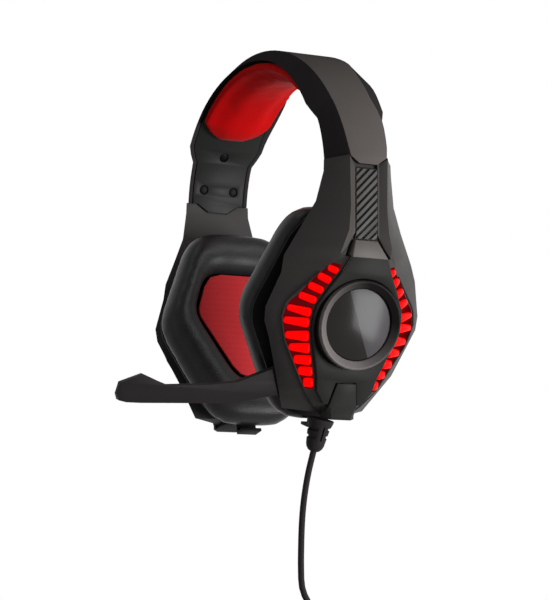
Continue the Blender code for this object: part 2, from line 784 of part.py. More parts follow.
def build_arm_frame(looks, slide):
    frame = solid("arm_frame_left", loft(housing_sections()), looks["arm"], slide)
    ring_seat = rod(RING_OUTER_R + CLEAR, cup_point(0, 0, RING_SEAT), cup_point(0, 0, 20), 36)
    hub = rod(BOOM_SCREW_R + CLEAR, cup_point(BOOM_U, BOOM_W, BOOM_OUT - 5),
              cup_point(BOOM_U, BOOM_W, BOOM_OUT + BOOM_SCREW_REACH + CLEAR), 16)
    slot = blade_shape(RUN_CLEAR, BLADE_ABOVE_END + 10.0, BLADE_BELOW_END + 4.0)
    combine(frame, "DIFFERENCE", seam_trim(), channel_shape(), pocket_shape(), recess_shape(1),
            recess_shape(-1), ring_seat, hollow_shape(), slot, loft(tongue_sections(1, RUN_CLEAR)),
            loft(cover_tongue(1, RUN_CLEAR)))
    right = mirrored(frame, "arm_frame_right", bpy.data.objects["arm_right_slide"])
    combine(frame, "DIFFERENCE", hub)
    for piece in (frame, right):
        smooth(piece, 30)


def strip_shape():
    low = POCKET_TOP - 3.0
    sections = []
    for w in crease_levels(STRIP_TOP, low):
        base = along(CREASE, w)[1] - CHANNEL_DEPTH + CLEAR
        half = CHANNEL_HALF - CLEAR
        corners = [(-half, base), (half, base), (half, base + STRIP_THICK), (-half, base + STRIP_THICK)]
        sections.append([cup_point(u, w, n) for u, n in corners])
    return loft(sections), low


def clip(polygon, limit, keep_above):
    kept = []
    for a, b in zip(polygon, polygon[1:] + polygon[:1]):
        inside_a, inside_b = (a[1] > limit) == keep_above, (b[1] > limit) == keep_above
        if inside_a:
            kept.append(a)
        if inside_a != inside_b:
            t = (limit - a[1]) / (b[1] - a[1])
            kept.append((a[0] + (b[0] - a[0]) * t, limit))
    return kept


def rib_shape(w, low, high):
    half = CHANNEL_HALF - CLEAR - 0.2
    bar = [(-half, w), (half, w + RIB_SLANT), (half, w + RIB_SLANT + RIB_WIDTH), (-half, w + RIB_WIDTH)]
    bar = clip(clip(bar, low, True), high, False)

    def raised(height):
        base = CLEAR + STRIP_THICK + height - CHANNEL_DEPTH
        return [cup_point(u, v, along(CREASE, v)[1] + base) for u, v in bar]

    return loft([raised(-0.4), raised(RIB_HEIGHT)])


def spine_shape():
    levels = [(CAP_TOP, CAP_TOP_HALF, POCKET_FLOOR + CLEAR, POCKET_FLOOR + CLEAR + CAP_TOP_THICK)]
    step = POCKET_LOW + CLEAR
    cap_low_top = seat_n(POCKET_LOW) + CLEAR + SPINE_THICK
    levels.append((step + 0.4, CAP_LOW_HALF - 0.2, POCKET_FLOOR + CLEAR, cap_low_top - 0.1))
    for w in [step] + [w for w, _, _ in SEAT_EDGE if step > w > SPINE_LOW] + [SPINE_LOW]:
        half = CAP_LOW_HALF if w == step else along(SEAT_EDGE, w)[0] - CLEAR
        base = seat_n(w) + CLEAR
        levels.append((w, half, base, base + SPINE_THICK))
    return loft([[cup_point(u, w, n) for u, n in ((-h, n0), (h, n0), (h, n1), (-h, n1))]
                 for w, h, n0, n1 in levels])


def chin_notch():
    gap = CLEAR + 0.2
    levels = (CHIN_TOP + gap, SPINE_LOW - 3.0)
    right = [(chin_half(min(w, CHIN_TOP)) + gap, w) for w in levels]
    return plate(right + [(-u, w) for u, w in reversed(right)], -30.0, 20.0)


def chin_half(w):
    return CHIN_TOP_HALF + (CHIN_LOW_HALF - CHIN_TOP_HALF) * (CHIN_TOP - w) / (CHIN_TOP - HOUSING_LOW)


def slope_n(u, w):
    seat_half, top = along(SEAT_EDGE, w)
    crease_half, low = along(CREASE, w)
    return top + (low - top) * max(u - seat_half, 0.0) / (crease_half - seat_half)


def chin_section(w, level):
    wide = chin_half(w)
    flat = min(along(SEAT_EDGE, level)[0], wide * 0.8)
    right = [(flat, slope_n(flat, level) + CHIN_GAP), (wide, slope_n(wide, level) + CHIN_GAP)]
    over = [(u, n + CHIN_THICK) for u, n in reversed(right)]
    ring = right + over + [(-u, n) for u, n in reversed(right + over)]
    return [cup_point(u, w, n) for u, n in ring]


def chin_shape():
    levels = (CHIN_TOP, -35.0, -41.0, -42.5, -44.0, -45.5, HOUSING_LOW)
    sections = [chin_section(w, w) for w in levels]
    sections.append(chin_section(HOUSING_LOW - CLEAR - CHIN_LIP, HOUSING_LOW))
    return loft(sections)


def chin_lip():
    lip = HOUSING_LOW - CLEAR
    wide = chin_half(HOUSING_LOW) - 0.6
    front = slope_n(wide, HOUSING_LOW) + CHIN_GAP + CHIN_THICK * 0.5
    flat = along(SEAT_EDGE, HOUSING_LOW)[0] * 0.9
    crown = seat_n(HOUSING_LOW) + CHIN_GAP + CHIN_THICK * 0.5
    right = [(CHIN_LIP_HALF, CHIN_LIP_BACK), (wide, front), (flat, crown)]
    ring = right + [(-u, n) for u, n in reversed(right)]
    return loft([[cup_point(u, w, n) for u, n in ring] for w in (lip, lip - CHIN_LIP + 0.2)])


def ring_profile():
    base = RING_SEAT + CLEAR
    lip = RING_OUTER_R - RING_EDGE
    return [(RING_OUTER_R, base), (RING_OUTER_R, RING_SHOULDER), (lip, RING_RISE),
            (lip - RING_LIP, RING_RISE), (RING_INNER_R, DISC_TOP + RING_STEP), (RING_INNER_R, base)]


def disc_shape():
    radius = RING_INNER_R - CLEAR
    lean = math.radians(DISC_RIDGE_LEAN)
    ridge = Vector((math.sin(lean), -math.cos(lean)))
    count = 36
    base, top = [], []
    for i in range(count):
        turn = 2 * math.pi * i / count + math.atan2(ridge.y, ridge.x)
        u, w = radius * math.cos(turn), radius * math.sin(turn)
        off = abs(u * ridge.y - w * ridge.x)
        base.append(cup_point(u, w, RING_SEAT + CLEAR))
        top.append(cup_point(u, w, DISC_TOP - DISC_SLOPE * off))
    verts = base + top
    faces = [tuple(reversed(range(count)))]
    for i in range(count):
        j = (i + 1) % count
        faces.append((i, j, count + j, count + i))
    half = count // 2
    faces.append(tuple(range(count, count + half + 1)))
    faces.append(tuple(range(count + half, 2 * count)) + (count,))
    return verts, faces


def back_cover_outline():
    levels = (HOLLOW_TOP - CLEAR,) + HOLLOW_LEVELS + (HOLLOW_LOW + CLEAR,)
    right = [(hollow_half(w) - CLEAR, w) for w in levels]
    return right + [(-u, w) for u, w in reversed(right)]


def board_outline():
    right = []
    for w in (BOARD_TOP, BOARD_WAIST, BOARD_LOW):
        right.append((along(SEAT_EDGE, w)[0] - CEILING_INSET - 2 * CLEAR, w))
    return right + [(-u, w) for u, w in reversed(right)]


def build_housing_fittings(looks, slides):
    made = []
    strip_base, low = strip_shape()
    strip = solid("rib_strip_left", strip_base, looks["grey"], slides[0])
    pitch = (STRIP_TOP - low + RIB_SLANT) / RIB_COUNT
    starts = [low - RIB_SLANT + pitch * (k + 0.4) for k in range(RIB_COUNT)]
    ribs = [rib_shape(start, low + 0.4, STRIP_TOP - 0.4) for start in starts]
    made.append(combine(strip, "UNION", *ribs))

    spine = solid("spine_panel_left", spine_shape(), looks["arm"], slides[0])
    hole = rod(RING_OUTER_R + CLEAR, cup_point(0, 0, -30), cup_point(0, 0, 20), 36)
    made.append(combine(spine, "DIFFERENCE", hole, chin_notch()))
    made.append(solid("bezel_ring_left", turned_ring(ring_profile(), cup_point(0, 0, 0), CUP_NORMAL),
                      looks["gloss"], slides[0]))
    made.append(solid("cup_disc_left", disc_shape(), looks["gloss"], slides[0]))
    made.append(solid("front_light_guide_left", guide_shape(-1), looks["light"], slides[0]))
    made.append(solid("rear_light_guide_left", guide_shape(1), looks["light"], slides[0]))
    board_top = HOLLOW_CEILING - CLEAR
    made.append(solid("led_board_left", plate(board_outline(), board_top - BOARD_THICK, board_top),
                      looks["board"], slides[0]))
    chin = solid("chin_piece_left", chin_shape(), looks["arm"], slides[0])
    made.append(combine(chin, "UNION", chin_lip()))

    cover = plate(back_cover_outline(), BACK_COVER_N, BACK_COVER_N + BACK_COVER_THICK)
    back = solid("back_cover_left", cover, looks["dark"], slides[0])
    tip = PIN_N - EAR_TIP
    outer = PIN_HALF
    combine(back, "UNION", box(EAR_INNER, outer, -EAR_HALF_W, EAR_HALF_W, tip, BACK_COVER_N + 0.5),
            box(-outer, -EAR_INNER, -EAR_HALF_W, EAR_HALF_W, tip, BACK_COVER_N + 0.5))
    bore = rod(PIN_R + CLEAR, cup_point(-outer - 5, 0, PIN_N), cup_point(outer + 5, 0, PIN_N))
    made.append(combine(back, "DIFFERENCE", bore))
    pin = rod(PIN_R, cup_point(-PIN_HALF, 0, PIN_N), cup_point(PIN_HALF, 0, PIN_N))
    made.append(solid("cup_pin_left", pin, looks["steel"], slides[0]))
    for piece in made:
        smooth(piece, 30)
        mirrored(piece, piece.name.replace("_left", "_right"), slides[1])


# Ear cups
FLANGE_BACK = CUP_BACK - CUP_WALL
FLANGE_FRONT = FLANGE_BACK - 1.4
TUB_MOUTH = FLANGE_BACK - CUP_DEPTH
BAFFLE_FRONT = TUB_MOUTH
LINER_BACK = TUB_MOUTH - CLEAR
CUSHION_BACK = FLANGE_FRONT - CLEAR


def opening(inset=0.0, steps=2):
    return rounded(six_sided(OPENING_TOP, OPENING_WAIST, OPENING_LOW, inset), OPENING_CORNER_R, steps)


def cushion_shape():
    outer = rounded(six_sided(CUSHION_TOP, CUSHION_WAIST, CUSHION_LOW), CUSHION_CORNER_R)
    inner = opening(0.0, 3)
    deep = CUSHION_THICK
    profile = [(0.05, 0.0), (0.90, 0.0), (0.985, 0.12), (1.0, 0.38), (0.97, 0.68), (0.86, 0.91), (0.62, 1.0),
               (0.36, 0.98), (0.13, 0.86), (0.02, 0.62), (0.0, 0.30)]
    sections = []
    for (uo, wo), (ui, wi) in zip(outer, inner):
        sections.append([cup_point(ui + (uo - ui) * f, wi + (wo - wi) * f, CUSHION_BACK - deep * d)
                         for f, d in profile])
    return loft(sections, looped=True)


def build_cup(looks, tilts):
    made = []
    outline = six_sided(CUSHION_TOP, CUSHION_WAIST, CUSHION_LOW, FLANGE_INSET)
    flange = plate(rounded(outline, CUSHION_CORNER_R, 2), FLANGE_FRONT, FLANGE_BACK)
    shell = solid("cup_shell_left", flange, looks["dark"], tilts[0])
    tub = opening(TUB_GAP)
    cavity = opening(TUB_GAP + CUP_WALL)
    lug_half = EAR_INNER - LUG_SIDE_GAP
    tab_top = CUSHION_LOW[1] - CLEAR - 0.4
    tab_low = tab_top - TAB_DROP
    combine(shell, "UNION", plate(tub, TUB_MOUTH, CUP_BACK),
            box(-lug_half, lug_half, -LUG_HALF_W, LUG_HALF_W, CUP_BACK - 1.0, PIN_N + LUG_TOP),
            box(-TAB_HALF, TAB_HALF, tab_low, tab_top + 6.0, FLANGE_FRONT + 0.1, FLANGE_BACK - 0.1),
            box(-TAB_HALF, TAB_HALF, tab_low, tab_top, FLANGE_FRONT - TAB_REACH, FLANGE_BACK - 0.1))
    bore = rod(PIN_R + CLEAR, cup_point(-lug_half - 5, 0, PIN_N), cup_point(lug_half + 5, 0, PIN_N))
    combine(shell, "DIFFERENCE", plate(cavity, TUB_MOUTH - 5, FLANGE_BACK), bore)
    made.append(shell)

    sheet = plate(opening(TUB_GAP + CUP_WALL + CLEAR), BAFFLE_FRONT, BAFFLE_FRONT + BAFFLE_THICK)
    baffle = solid("baffle_left", sheet, looks["dark"], tilts[0])
    hole = rod(BAFFLE_HOLE_R, cup_point(0, DRIVER_W, BAFFLE_FRONT - 5),
               cup_point(0, DRIVER_W, BAFFLE_FRONT + 5), 32)
    made.append(combine(baffle, "DIFFERENCE", hole))
    rim = BAFFLE_FRONT + BAFFLE_THICK + CLEAR
    profile = [(DRIVER_R - 8, DRIVER_DEPTH), (DRIVER_R - 6, DRIVER_DEPTH - 1.6),
               (DRIVER_R, DRIVER_DEPTH - 2.2), (DRIVER_R, 0.0), (BAFFLE_HOLE_R - 1.0, 0.0),
               (BAFFLE_HOLE_R - 5.0, -DRIVER_DOME), (3.0, -DRIVER_DOME)]
    driver = turned(profile, cup_point(0, DRIVER_W, rim), CUP_NORMAL, 24)
    made.append(solid("driver_left", driver, looks["steel"], tilts[0]))
    liner = plate(opening(TUB_GAP), LINER_BACK - LINER_THICK, LINER_BACK)
    made.append(solid("ear_liner_left", liner, looks["red"], tilts[0]))
    made.append(solid("ear_cushion_left", cushion_shape(), looks["hide"], tilts[0]))
    for piece in made:
        smooth(piece, 50)
        mirrored(piece, piece.name.replace("_left", "_right"), tilts[1])


# Microphone boom
def boom_outline():
    hub = []
    for k in range(13):
        turn = math.radians(-120 + 20 * k)
        hub.append((BOOM_U + HUB_R * math.cos(turn), BOOM_W + HUB_R * math.sin(turn)))
    bar_top = BAR_LOW_W + BAR_HEIGHT
    top = [(BEND_U + 2.0, bar_top + 2.2), (BEND_U - 12.0, bar_top + 0.3), (HEAD_U + 3.0, bar_top - 1.2),
           (HEAD_U - 1.0, bar_top + 0.1), (HEAD_PEAK_U, HEAD_TOP_W), (TIP_U + 1.2, TIP_TOP_W),
           (TIP_U, HEAD_LOW_W + 3.6), (TIP_U + 1.2, HEAD_LOW_W + 0.7), (TIP_U + 5.0, HEAD_LOW_W)]
    low = [(HEAD_PEAK_U, HEAD_LOW_W), (BEND_U, BAR_LOW_W + 0.4)]
    return hub + top + low


def build_boom(looks, pivot):
    inner = BOOM_OUT - BOOM_THICK
    arm = solid("boom_arm", plate(boom_outline(), inner, BOOM_OUT), looks["arm"], pivot)
    pocket_r = CAPSULE_R + CLEAR
    pocket_end = inner + GRILLE_THICK + CLEAR + CAPSULE_DEPTH + CLEAR
    mouth = cup_point(CAPSULE_U, CAPSULE_W, inner - 3)
    screw_bore = rod(BOOM_SCREW_R + CLEAR, cup_point(BOOM_U, BOOM_W, inner - 3),
                     cup_point(BOOM_U, BOOM_W, BOOM_OUT + 3), 20)
    head_bore = rod(BOOM_SCREW_HEAD_R + CLEAR, cup_point(BOOM_U, BOOM_W, inner - 3),
                    cup_point(BOOM_U, BOOM_W, inner + BOOM_SCREW_HEAD + CLEAR), 20)
    combine(arm, "DIFFERENCE", rod(pocket_r, mouth, cup_point(CAPSULE_U, CAPSULE_W, pocket_end), 24),
            screw_bore, head_bore)
    smooth(arm, 30)
    start = inner + GRILLE_THICK + CLEAR
    capsule = rod(CAPSULE_R, cup_point(CAPSULE_U, CAPSULE_W, start),
                  cup_point(CAPSULE_U, CAPSULE_W, start + CAPSULE_DEPTH), 24)
    smooth(solid("mic_capsule", capsule, looks["steel"], pivot))
    grille = rod(CAPSULE_R, cup_point(CAPSULE_U, CAPSULE_W, inner),
                 cup_point(CAPSULE_U, CAPSULE_W, inner + GRILLE_THICK), 24)
    smooth(solid("mic_grille", grille, looks["dark"], pivot))


def build_boom_screw(looks, slide):
    inner = BOOM_OUT - BOOM_THICK
    reach = BOOM_THICK + BOOM_SCREW_REACH
    profile = [(BOOM_SCREW_HEAD_R, 0.0), (BOOM_SCREW_HEAD_R, BOOM_SCREW_HEAD),
               (BOOM_SCREW_R, BOOM_SCREW_HEAD), (BOOM_SCREW_R, reach)]
    shape = turned(profile, cup_point(BOOM_U, BOOM_W, inner), CUP_NORMAL, 20)
    smooth(solid("boom_screw", shape, looks["screw"], slide))


# Strain relief and cord
RELIEF_TOP = HOUSING_LOW - 2 * CLEAR - CHIN_LIP - RELIEF_TOP_R * math.sin(math.radians(RELIEF_LEAN))


def relief_axis():
    lean = math.radians(RELIEF_LEAN)
    start = cup_point(RELIEF_U, RELIEF_TOP, RELIEF_N)
    end = cup_point(RELIEF_U - math.sin(lean), RELIEF_TOP - math.cos(lean), RELIEF_N)
    return start, (end - start).normalized()


def relief_profile():
    end = RELIEF_LENGTH
    return [(RELIEF_TOP_R, 0.0), (RELIEF_TOP_R - 0.2, end * 0.09), (RELIEF_WAIST_R + 0.6, end * 0.26),
            (RELIEF_WAIST_R, end * 0.56), (RELIEF_END_R, end * 0.8), (RELIEF_END_R * 0.87, end * 0.9),
            (RELIEF_END_R * 0.65, end * 0.97), (RELIEF_END_R * 0.5, end)]


def relief_block(u0, u1, from_top, to_top, n0, n1):
    lean = math.radians(RELIEF_LEAN)
    corners = ((u0, n0), (u1, n0), (u1, n1), (u0, n1))
    sections = []
    for run in (from_top, to_top):
        middle, level = RELIEF_U - run * math.sin(lean), RELIEF_TOP - run * math.cos(lean)
        sections.append([cup_point(middle + u, level, RELIEF_N + n) for u, n in corners])
    return loft(sections)


def relief_cuts():
    reach = RELIEF_TOP_R + 2.0
    cuts = [relief_block(-RELIEF_SLOT / 2, RELIEF_SLOT / 2, RELIEF_LENGTH * 0.2, RELIEF_LENGTH * 0.64,
                         RELIEF_WAIST_R - 1.2, reach)]
    for place in RELIEF_NOTCHES:
        cuts.append(relief_block(RELIEF_WEB, reach, place, place + RELIEF_NOTCH, -reach, reach))
        cuts.append(relief_block(-reach, -RELIEF_WEB, place, place + RELIEF_NOTCH, -reach, reach))
    return cuts


def smooth_route(points, spacing):
    dense = []
    guard = [points[0] * 2 - points[1]] + points + [points[-1] * 2 - points[-2]]
    for a, b, c, d in zip(guard, guard[1:], guard[2:], guard[3:]):
        steps = max(int((c - b).length / spacing + 0.5), 1)
        for k in range(steps):
            t = k / steps
            dense.append(((b * 2) + (c - a) * t + (a * 2 - b * 5 + c * 4 - d) * t ** 2
                          + (b * 3 - a - c * 3 + d) * t ** 3) * 0.5)
    dense.append(points[-1])
    return dense


def tube(name, points, mat, parent, resolution):
    base = Vector(parent["place"])
    curve = bpy.data.curves.new(name, "CURVE")
    curve.dimensions = "3D"
    curve.bevel_depth = CORD_D / 2 * MM
    curve.bevel_resolution = resolution
    curve.use_fill_caps = True
    line = curve.splines.new("POLY")
    line.points.add(len(points) - 1)
    for spot, p in zip(line.points, points):
        spot.co = (*((p - base) * MM), 1.0)
    curve.materials.append(mat)
    piece = bpy.data.objects.new(name, curve)
    bpy.context.collection.objects.link(piece)
    piece.parent = parent
    return piece


def coil_layer(turn):
    per_layer = COIL_TURNS / COIL_LAYERS
    layer = 0.0
    for k in range(1, COIL_LAYERS):
        layer += ease((turn - k * per_layer) / 0.5 + 0.5)
    return layer


def coil_radius(turn):
    per_layer = COIL_TURNS / COIL_LAYERS
    share = (turn / per_layer) % 2.0
    return COIL_OUTER_R - COIL_PITCH * per_layer * (share if share <= 1.0 else 2.0 - share)


def coil_place(top, turn):
    angle = 2 * math.pi * turn
    radius = coil_radius(turn)
    centre = top - Vector((0.0, 0.0, COIL_OUTER_R))
    across = -COIL_PITCH * coil_layer(turn)
    return centre + Vector((across, radius * math.sin(angle), radius * math.cos(angle)))


def coil_points(top):
    count = int(COIL_TURNS * COIL_POINTS_PER_TURN + 0.5)
    points = [coil_place(top, COIL_TURNS * i / count) for i in range(count + 1)]
    last = 2 * math.pi * COIL_TURNS
    leave = Vector((0.0, math.cos(last), -math.sin(last)))
    lead_in = [points[0] - Vector((0.0, CORD_D, 0.0))]
    run = [points[-1] + leave * (COIL_END_RUN * share) for share in (0.5, 1.0)]
    return lead_in + points + run, leave


def least_gap(points):
    least = 1e9
    skip = COIL_POINTS_PER_TURN // 2
    for i in range(len(points)):
        for j in range(i + skip, len(points)):
            least = min(least, (points[i] - points[j]).length)
    return least - CORD_D


def tie_shape(top):
    centre = top - Vector((0.0, 0.0, COIL_OUTER_R))
    turn = math.radians(TIE_ANGLE)
    out = Vector((0.0, math.sin(turn), math.cos(turn)))
    tangent = Vector((0.0, math.cos(turn), -math.sin(turn)))
    per_layer = COIL_TURNS / COIL_LAYERS
    margin = CORD_D / 2 + TIE_GAP
    inner_r = COIL_OUTER_R - COIL_PITCH * per_layer - margin
    outer_r = COIL_OUTER_R + margin
    back = -COIL_PITCH * (COIL_LAYERS - 1) - margin
    front = margin
    sections = []
    for grow in ((inner_r, back), (outer_r, back), (outer_r, front), (inner_r, front)):
        radius, x = grow
        dr = TIE_THICK if radius == outer_r else -TIE_THICK
        dx = TIE_THICK if x == front else -TIE_THICK
        near = centre + out * radius + Vector((x, 0, 0))
        far = centre + out * (radius + dr) + Vector((x + dx, 0, 0))
        half = tangent * (TIE_WIDTH / 2)
        sections.append([near - half, near + half, far + half, far - half])
    return loft(sections, looped=True)


def grip_profile():
    profile = [(PLUG_GRIP_R * 0.62, 0.0), (PLUG_GRIP_R * 0.66, 5.0), (PLUG_GRIP_R, 7.0)]
    for k in range(3):
        place = 9.0 + 2.6 * k
        profile += [(PLUG_GRIP_R, place), (PLUG_GRIP_R - 0.5, place + 0.3), (PLUG_GRIP_R - 0.5, place + 1.1),
                    (PLUG_GRIP_R, place + 1.4)]
    profile += [(PLUG_GRIP_R, PLUG_GRIP_LENGTH - 0.6), (PLUG_GRIP_R - 0.6, PLUG_GRIP_LENGTH)]
    return profile


def pin_profile():
    r = PLUG_PIN_R
    length = PLUG_PIN_LENGTH
    profile = [(r * 1.4, 0.0), (r * 1.4, 1.0), (r, 1.0)]
    for place in (4.2, 7.0, 9.8):
        profile += [(r, place), (r - 0.2, place + 0.1), (r - 0.2, place + 0.6), (r, place + 0.7)]
    profile += [(r, length - 2.6), (r * 0.68, length - 1.9), (r * 0.92, length - 1.1), (r * 0.3, length)]
    return profile


def build_cord(looks, slide):
    start, down = relief_axis()
    relief = solid("strain_relief", turned(relief_profile(), start, down, 16), looks["rubber"], slide)
    combine(relief, "DIFFERENCE", *relief_cuts())
    smooth(relief)
    exit_point = start + down * (RELIEF_LENGTH + CLEAR)
    top = exit_point + Vector(COIL_OFFSET)
    coil, leave = coil_points(top)
    route = [exit_point] + [exit_point + Vector(p) for p in LEAD_POINTS]
    route.append(coil[0] - Vector((0.0, CLEAR, 0.0)))
    lead = smooth_route(route, 2.5 * CORD_D)
    tube("cord_lead", lead, looks["rubber"], slide, 2)
    tube("cord_coil", coil, looks["rubber"], slide, 1)
    print("coil: least gap to itself %.2f mm" % least_gap(coil))
    run = sum((b - a).length for a, b in zip(lead, lead[1:]))
    wound = sum((b - a).length for a, b in zip(coil, coil[1:]))
    print("cord: lead %.0f mm, coil %.0f mm" % (run, wound))
    solid("cord_tie", tie_shape(top), looks["rubber"], slide)
    grip_start = coil[-1] + leave * CLEAR
    smooth(solid("plug_grip", turned(grip_profile(), grip_start, leave, 14), looks["rubber"], slide))
    pin_start = grip_start + leave * (PLUG_GRIP_LENGTH + CLEAR)
    smooth(solid("plug_pin", turned(pin_profile(), pin_start, leave, 12), looks["gold"], slide))


def main():
    clear_scene()
    looks = make_finishes()
    build_headband(looks)
    seam = band_point(BAND_END_ANGLE, 0.0, BAND_END_THICK / 2)
    pin = cup_point(0.0, 0.0, PIN_N)
    hub = cup_point(BOOM_U, BOOM_W, BOOM_OUT)
    slides, tilts = [], []
    for side, name in ((1, "left"), (-1, "right")):
        slides.append(carrier(f"arm_{name}_slide", (seam.x * side, seam.y, seam.z)))
        tilts.append(carrier(f"cup_{name}_tilt", (pin.x * side, pin.y, pin.z), slides[-1]))
    boom = carrier("boom_pivot", hub, slides[0])
    build_arm_frame(looks, slides[0])
    build_housing_fittings(looks, slides)
    build_cup(looks, tilts)
    build_boom(looks, boom)
    build_boom_screw(looks, slides[0])
    build_cord(looks, slides[0])
    bpy.context.view_layer.update()
    face = cup_point(0.0, RING_OUTER_R - RING_EDGE - RING_LIP / 2, RING_RISE)
    print("pin at", pin, "hub at", hub, "seam at", seam, "ring face at", face)


main()
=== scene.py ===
import json
import math
import bpy
from mathutils import Matrix, Vector, noise


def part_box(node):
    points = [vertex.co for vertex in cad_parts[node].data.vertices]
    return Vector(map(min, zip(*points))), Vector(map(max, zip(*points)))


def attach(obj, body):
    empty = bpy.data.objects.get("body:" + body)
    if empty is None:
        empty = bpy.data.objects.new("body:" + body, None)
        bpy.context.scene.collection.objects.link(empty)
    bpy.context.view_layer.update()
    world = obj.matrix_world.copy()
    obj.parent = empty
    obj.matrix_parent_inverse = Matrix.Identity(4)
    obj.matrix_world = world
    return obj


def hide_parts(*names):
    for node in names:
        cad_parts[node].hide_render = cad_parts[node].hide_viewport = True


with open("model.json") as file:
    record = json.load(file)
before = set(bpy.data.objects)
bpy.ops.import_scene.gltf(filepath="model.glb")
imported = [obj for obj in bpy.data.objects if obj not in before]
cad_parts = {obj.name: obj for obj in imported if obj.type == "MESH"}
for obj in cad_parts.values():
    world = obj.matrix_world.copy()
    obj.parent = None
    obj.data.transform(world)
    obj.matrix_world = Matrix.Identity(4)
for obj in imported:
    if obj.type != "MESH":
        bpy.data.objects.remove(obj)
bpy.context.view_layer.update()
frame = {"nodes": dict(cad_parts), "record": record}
nodes = frame["nodes"]
bodyOf = {node: body for body, held in frame["record"]["behaviour"]["bodies"].items() for node in held}
mm = 0.001
print("stage: frame loaded")

# Camera at the photograph's place
shot = {"turn": 62.84, "rise": -6.58, "roll": 0.55, "away": 1.202, "focal": 2281.0, "frameLong": 600.0,
        "target": (-0.0089, 0.0, -0.11262), "sensor": 36.0, "near": 0.01}


def addCamera(s):
    turn, rise, roll = (math.radians(s[k]) for k in ("turn", "rise", "roll"))
    back = Vector((math.sin(turn) * math.cos(rise), -math.cos(turn) * math.cos(rise), math.sin(rise)))
    right = Vector((math.cos(turn), math.sin(turn), 0.0))
    up = back.cross(right)
    right, up = right * math.cos(roll) + up * math.sin(roll), up * math.cos(roll) - right * math.sin(roll)
    data = bpy.data.cameras.new("camera")
    data.sensor_width = s["sensor"]
    data.lens = s["focal"] * data.sensor_width / s["frameLong"]
    data.clip_start = s["near"]
    cam = bpy.data.objects.new("camera", data)
    bpy.context.scene.collection.objects.link(cam)
    place = Matrix((right, up, back)).transposed().to_4x4()
    place.translation = Vector(s["target"]) + back * s["away"]
    cam.matrix_world = place
    bpy.context.scene.camera = cam


addCamera(shot)


# Shader maths: a value is a socket, and expressions on values add Math nodes
class Val:
    def __init__(self, graph, socket):
        self.graph = graph
        self.socket = socket

    def math(self, kind, first, second):
        return self.graph.node("ShaderNodeMath", {"operation": kind}, {0: first, 1: second})

    def __add__(self, other):
        return self.math("ADD", self, other)

    def __sub__(self, other):
        return self.math("SUBTRACT", self, other)

    def __rsub__(self, other):
        return self.math("SUBTRACT", other, self)

    def __mul__(self, other):
        return self.math("MULTIPLY", self, other)

    __radd__ = __add__

    def clamp(self):
        return self.math("MINIMUM", self.math("MAXIMUM", self, 0.0), 1.0)


class Graph:
    def __init__(self, tree):
        self.tree = tree

    def node(self, kind, settings=None, inputs=None, output=0):
        made = self.tree.nodes.new(kind)
        for key, value in (settings or {}).items():
            setattr(made, key, value)
        self.feed(made, inputs or {})
        return Val(self, made.outputs[output])

    def feed(self, made, inputs):
        for key, value in inputs.items():
            if isinstance(value, Val):
                self.tree.links.new(value.socket, made.inputs[key])
            else:
                made.inputs[key].default_value = value

    def noise(self, where, scale, detail=3.0):
        inputs = {"Vector": where, "Scale": scale, "Detail": detail}
        return self.node("ShaderNodeTexNoise", None, inputs, "Fac")

    def blend(self, factor, low, high):
        return self.node("ShaderNodeMix", {"data_type": "RGBA"},
                         {"Factor": factor, "A": (*low, 1.0), "B": (*high, 1.0)}, "Result")

    def bump(self, height, distance, strength):
        inputs = {"Height": height, "Distance": distance, "Strength": strength}
        return self.node("ShaderNodeBump", None, inputs, "Normal")


def linear(rgb):
    return [(c / 255 / 12.92) if c <= 10 else ((c / 255 + 0.055) / 1.055) ** 2.4 for c in rgb]


def scaled(rgb, share):
    return [c * share for c in rgb]


def newFinish(name, fixed):
    mat = bpy.data.materials.new(name)
    mat.use_nodes = True
    graph = Graph(mat.node_tree)
    shader = mat.node_tree.nodes["Principled BSDF"]
    graph.feed(shader, fixed)
    return mat, graph, shader, graph.node("ShaderNodeTexCoord", output="Object")


moulded = {"cloud": 34.0, "speck": 1900.0, "rub": 120.0, "cloudShare": 0.7, "speckShare": 0.3, "low": 0.84,
           "high": 1.16, "rubRange": 0.10, "depth": 0.00004}


def plastic(name, rgb, rough, specular, grain=0.3):
    m = moulded
    mat, graph, shader, where = newFinish(name, {"Specular IOR Level": specular})
    base = linear(rgb)
    cloud = graph.noise(where, m["cloud"], 2.0)
    speck = graph.noise(where, m["speck"], 2.0)
    mottle = (cloud * m["cloudShare"] + speck * m["speckShare"]).clamp()
    rub = graph.noise(where, m["rub"])
    graph.feed(shader, {"Base Color": graph.blend(mottle, scaled(base, m["low"]), scaled(base, m["high"])),
                        "Roughness": (rub * m["rubRange"] + (rough - m["rubRange"] / 2)).clamp(),
                        "Normal": graph.bump(speck, m["depth"], grain)})
    return mat


# Satin with a painted reflection: its colour lightens towards the lower front of the ring
ringPaintedReflection = {"middle": 0.36, "slope": 17.0, "drop": 0.134}


def paintedReflectionRamp(name, low, high, rough, specular):
    r = ringPaintedReflection
    mat, graph, shader, where = newFinish(name, {"Specular IOR Level": specular, "Roughness": rough})
    y, z = (graph.node("ShaderNodeSeparateXYZ", None, {"Vector": where}, axis) for axis in ("Y", "Z"))
    share = (r["middle"] - y * r["slope"] - (z + r["drop"]) * r["slope"]).clamp()
    graph.feed(shader, {"Base Color": graph.blend(share, linear(low), linear(high))})
    return mat


grained = {"pore": 720.0, "poreGain": 2.2, "fold": 160.0, "poreShare": 0.6, "foldShare": 0.4, "low": 0.70,
           "high": 1.25, "rubRange": 0.16, "depth": 0.00014, "strength": 0.5}


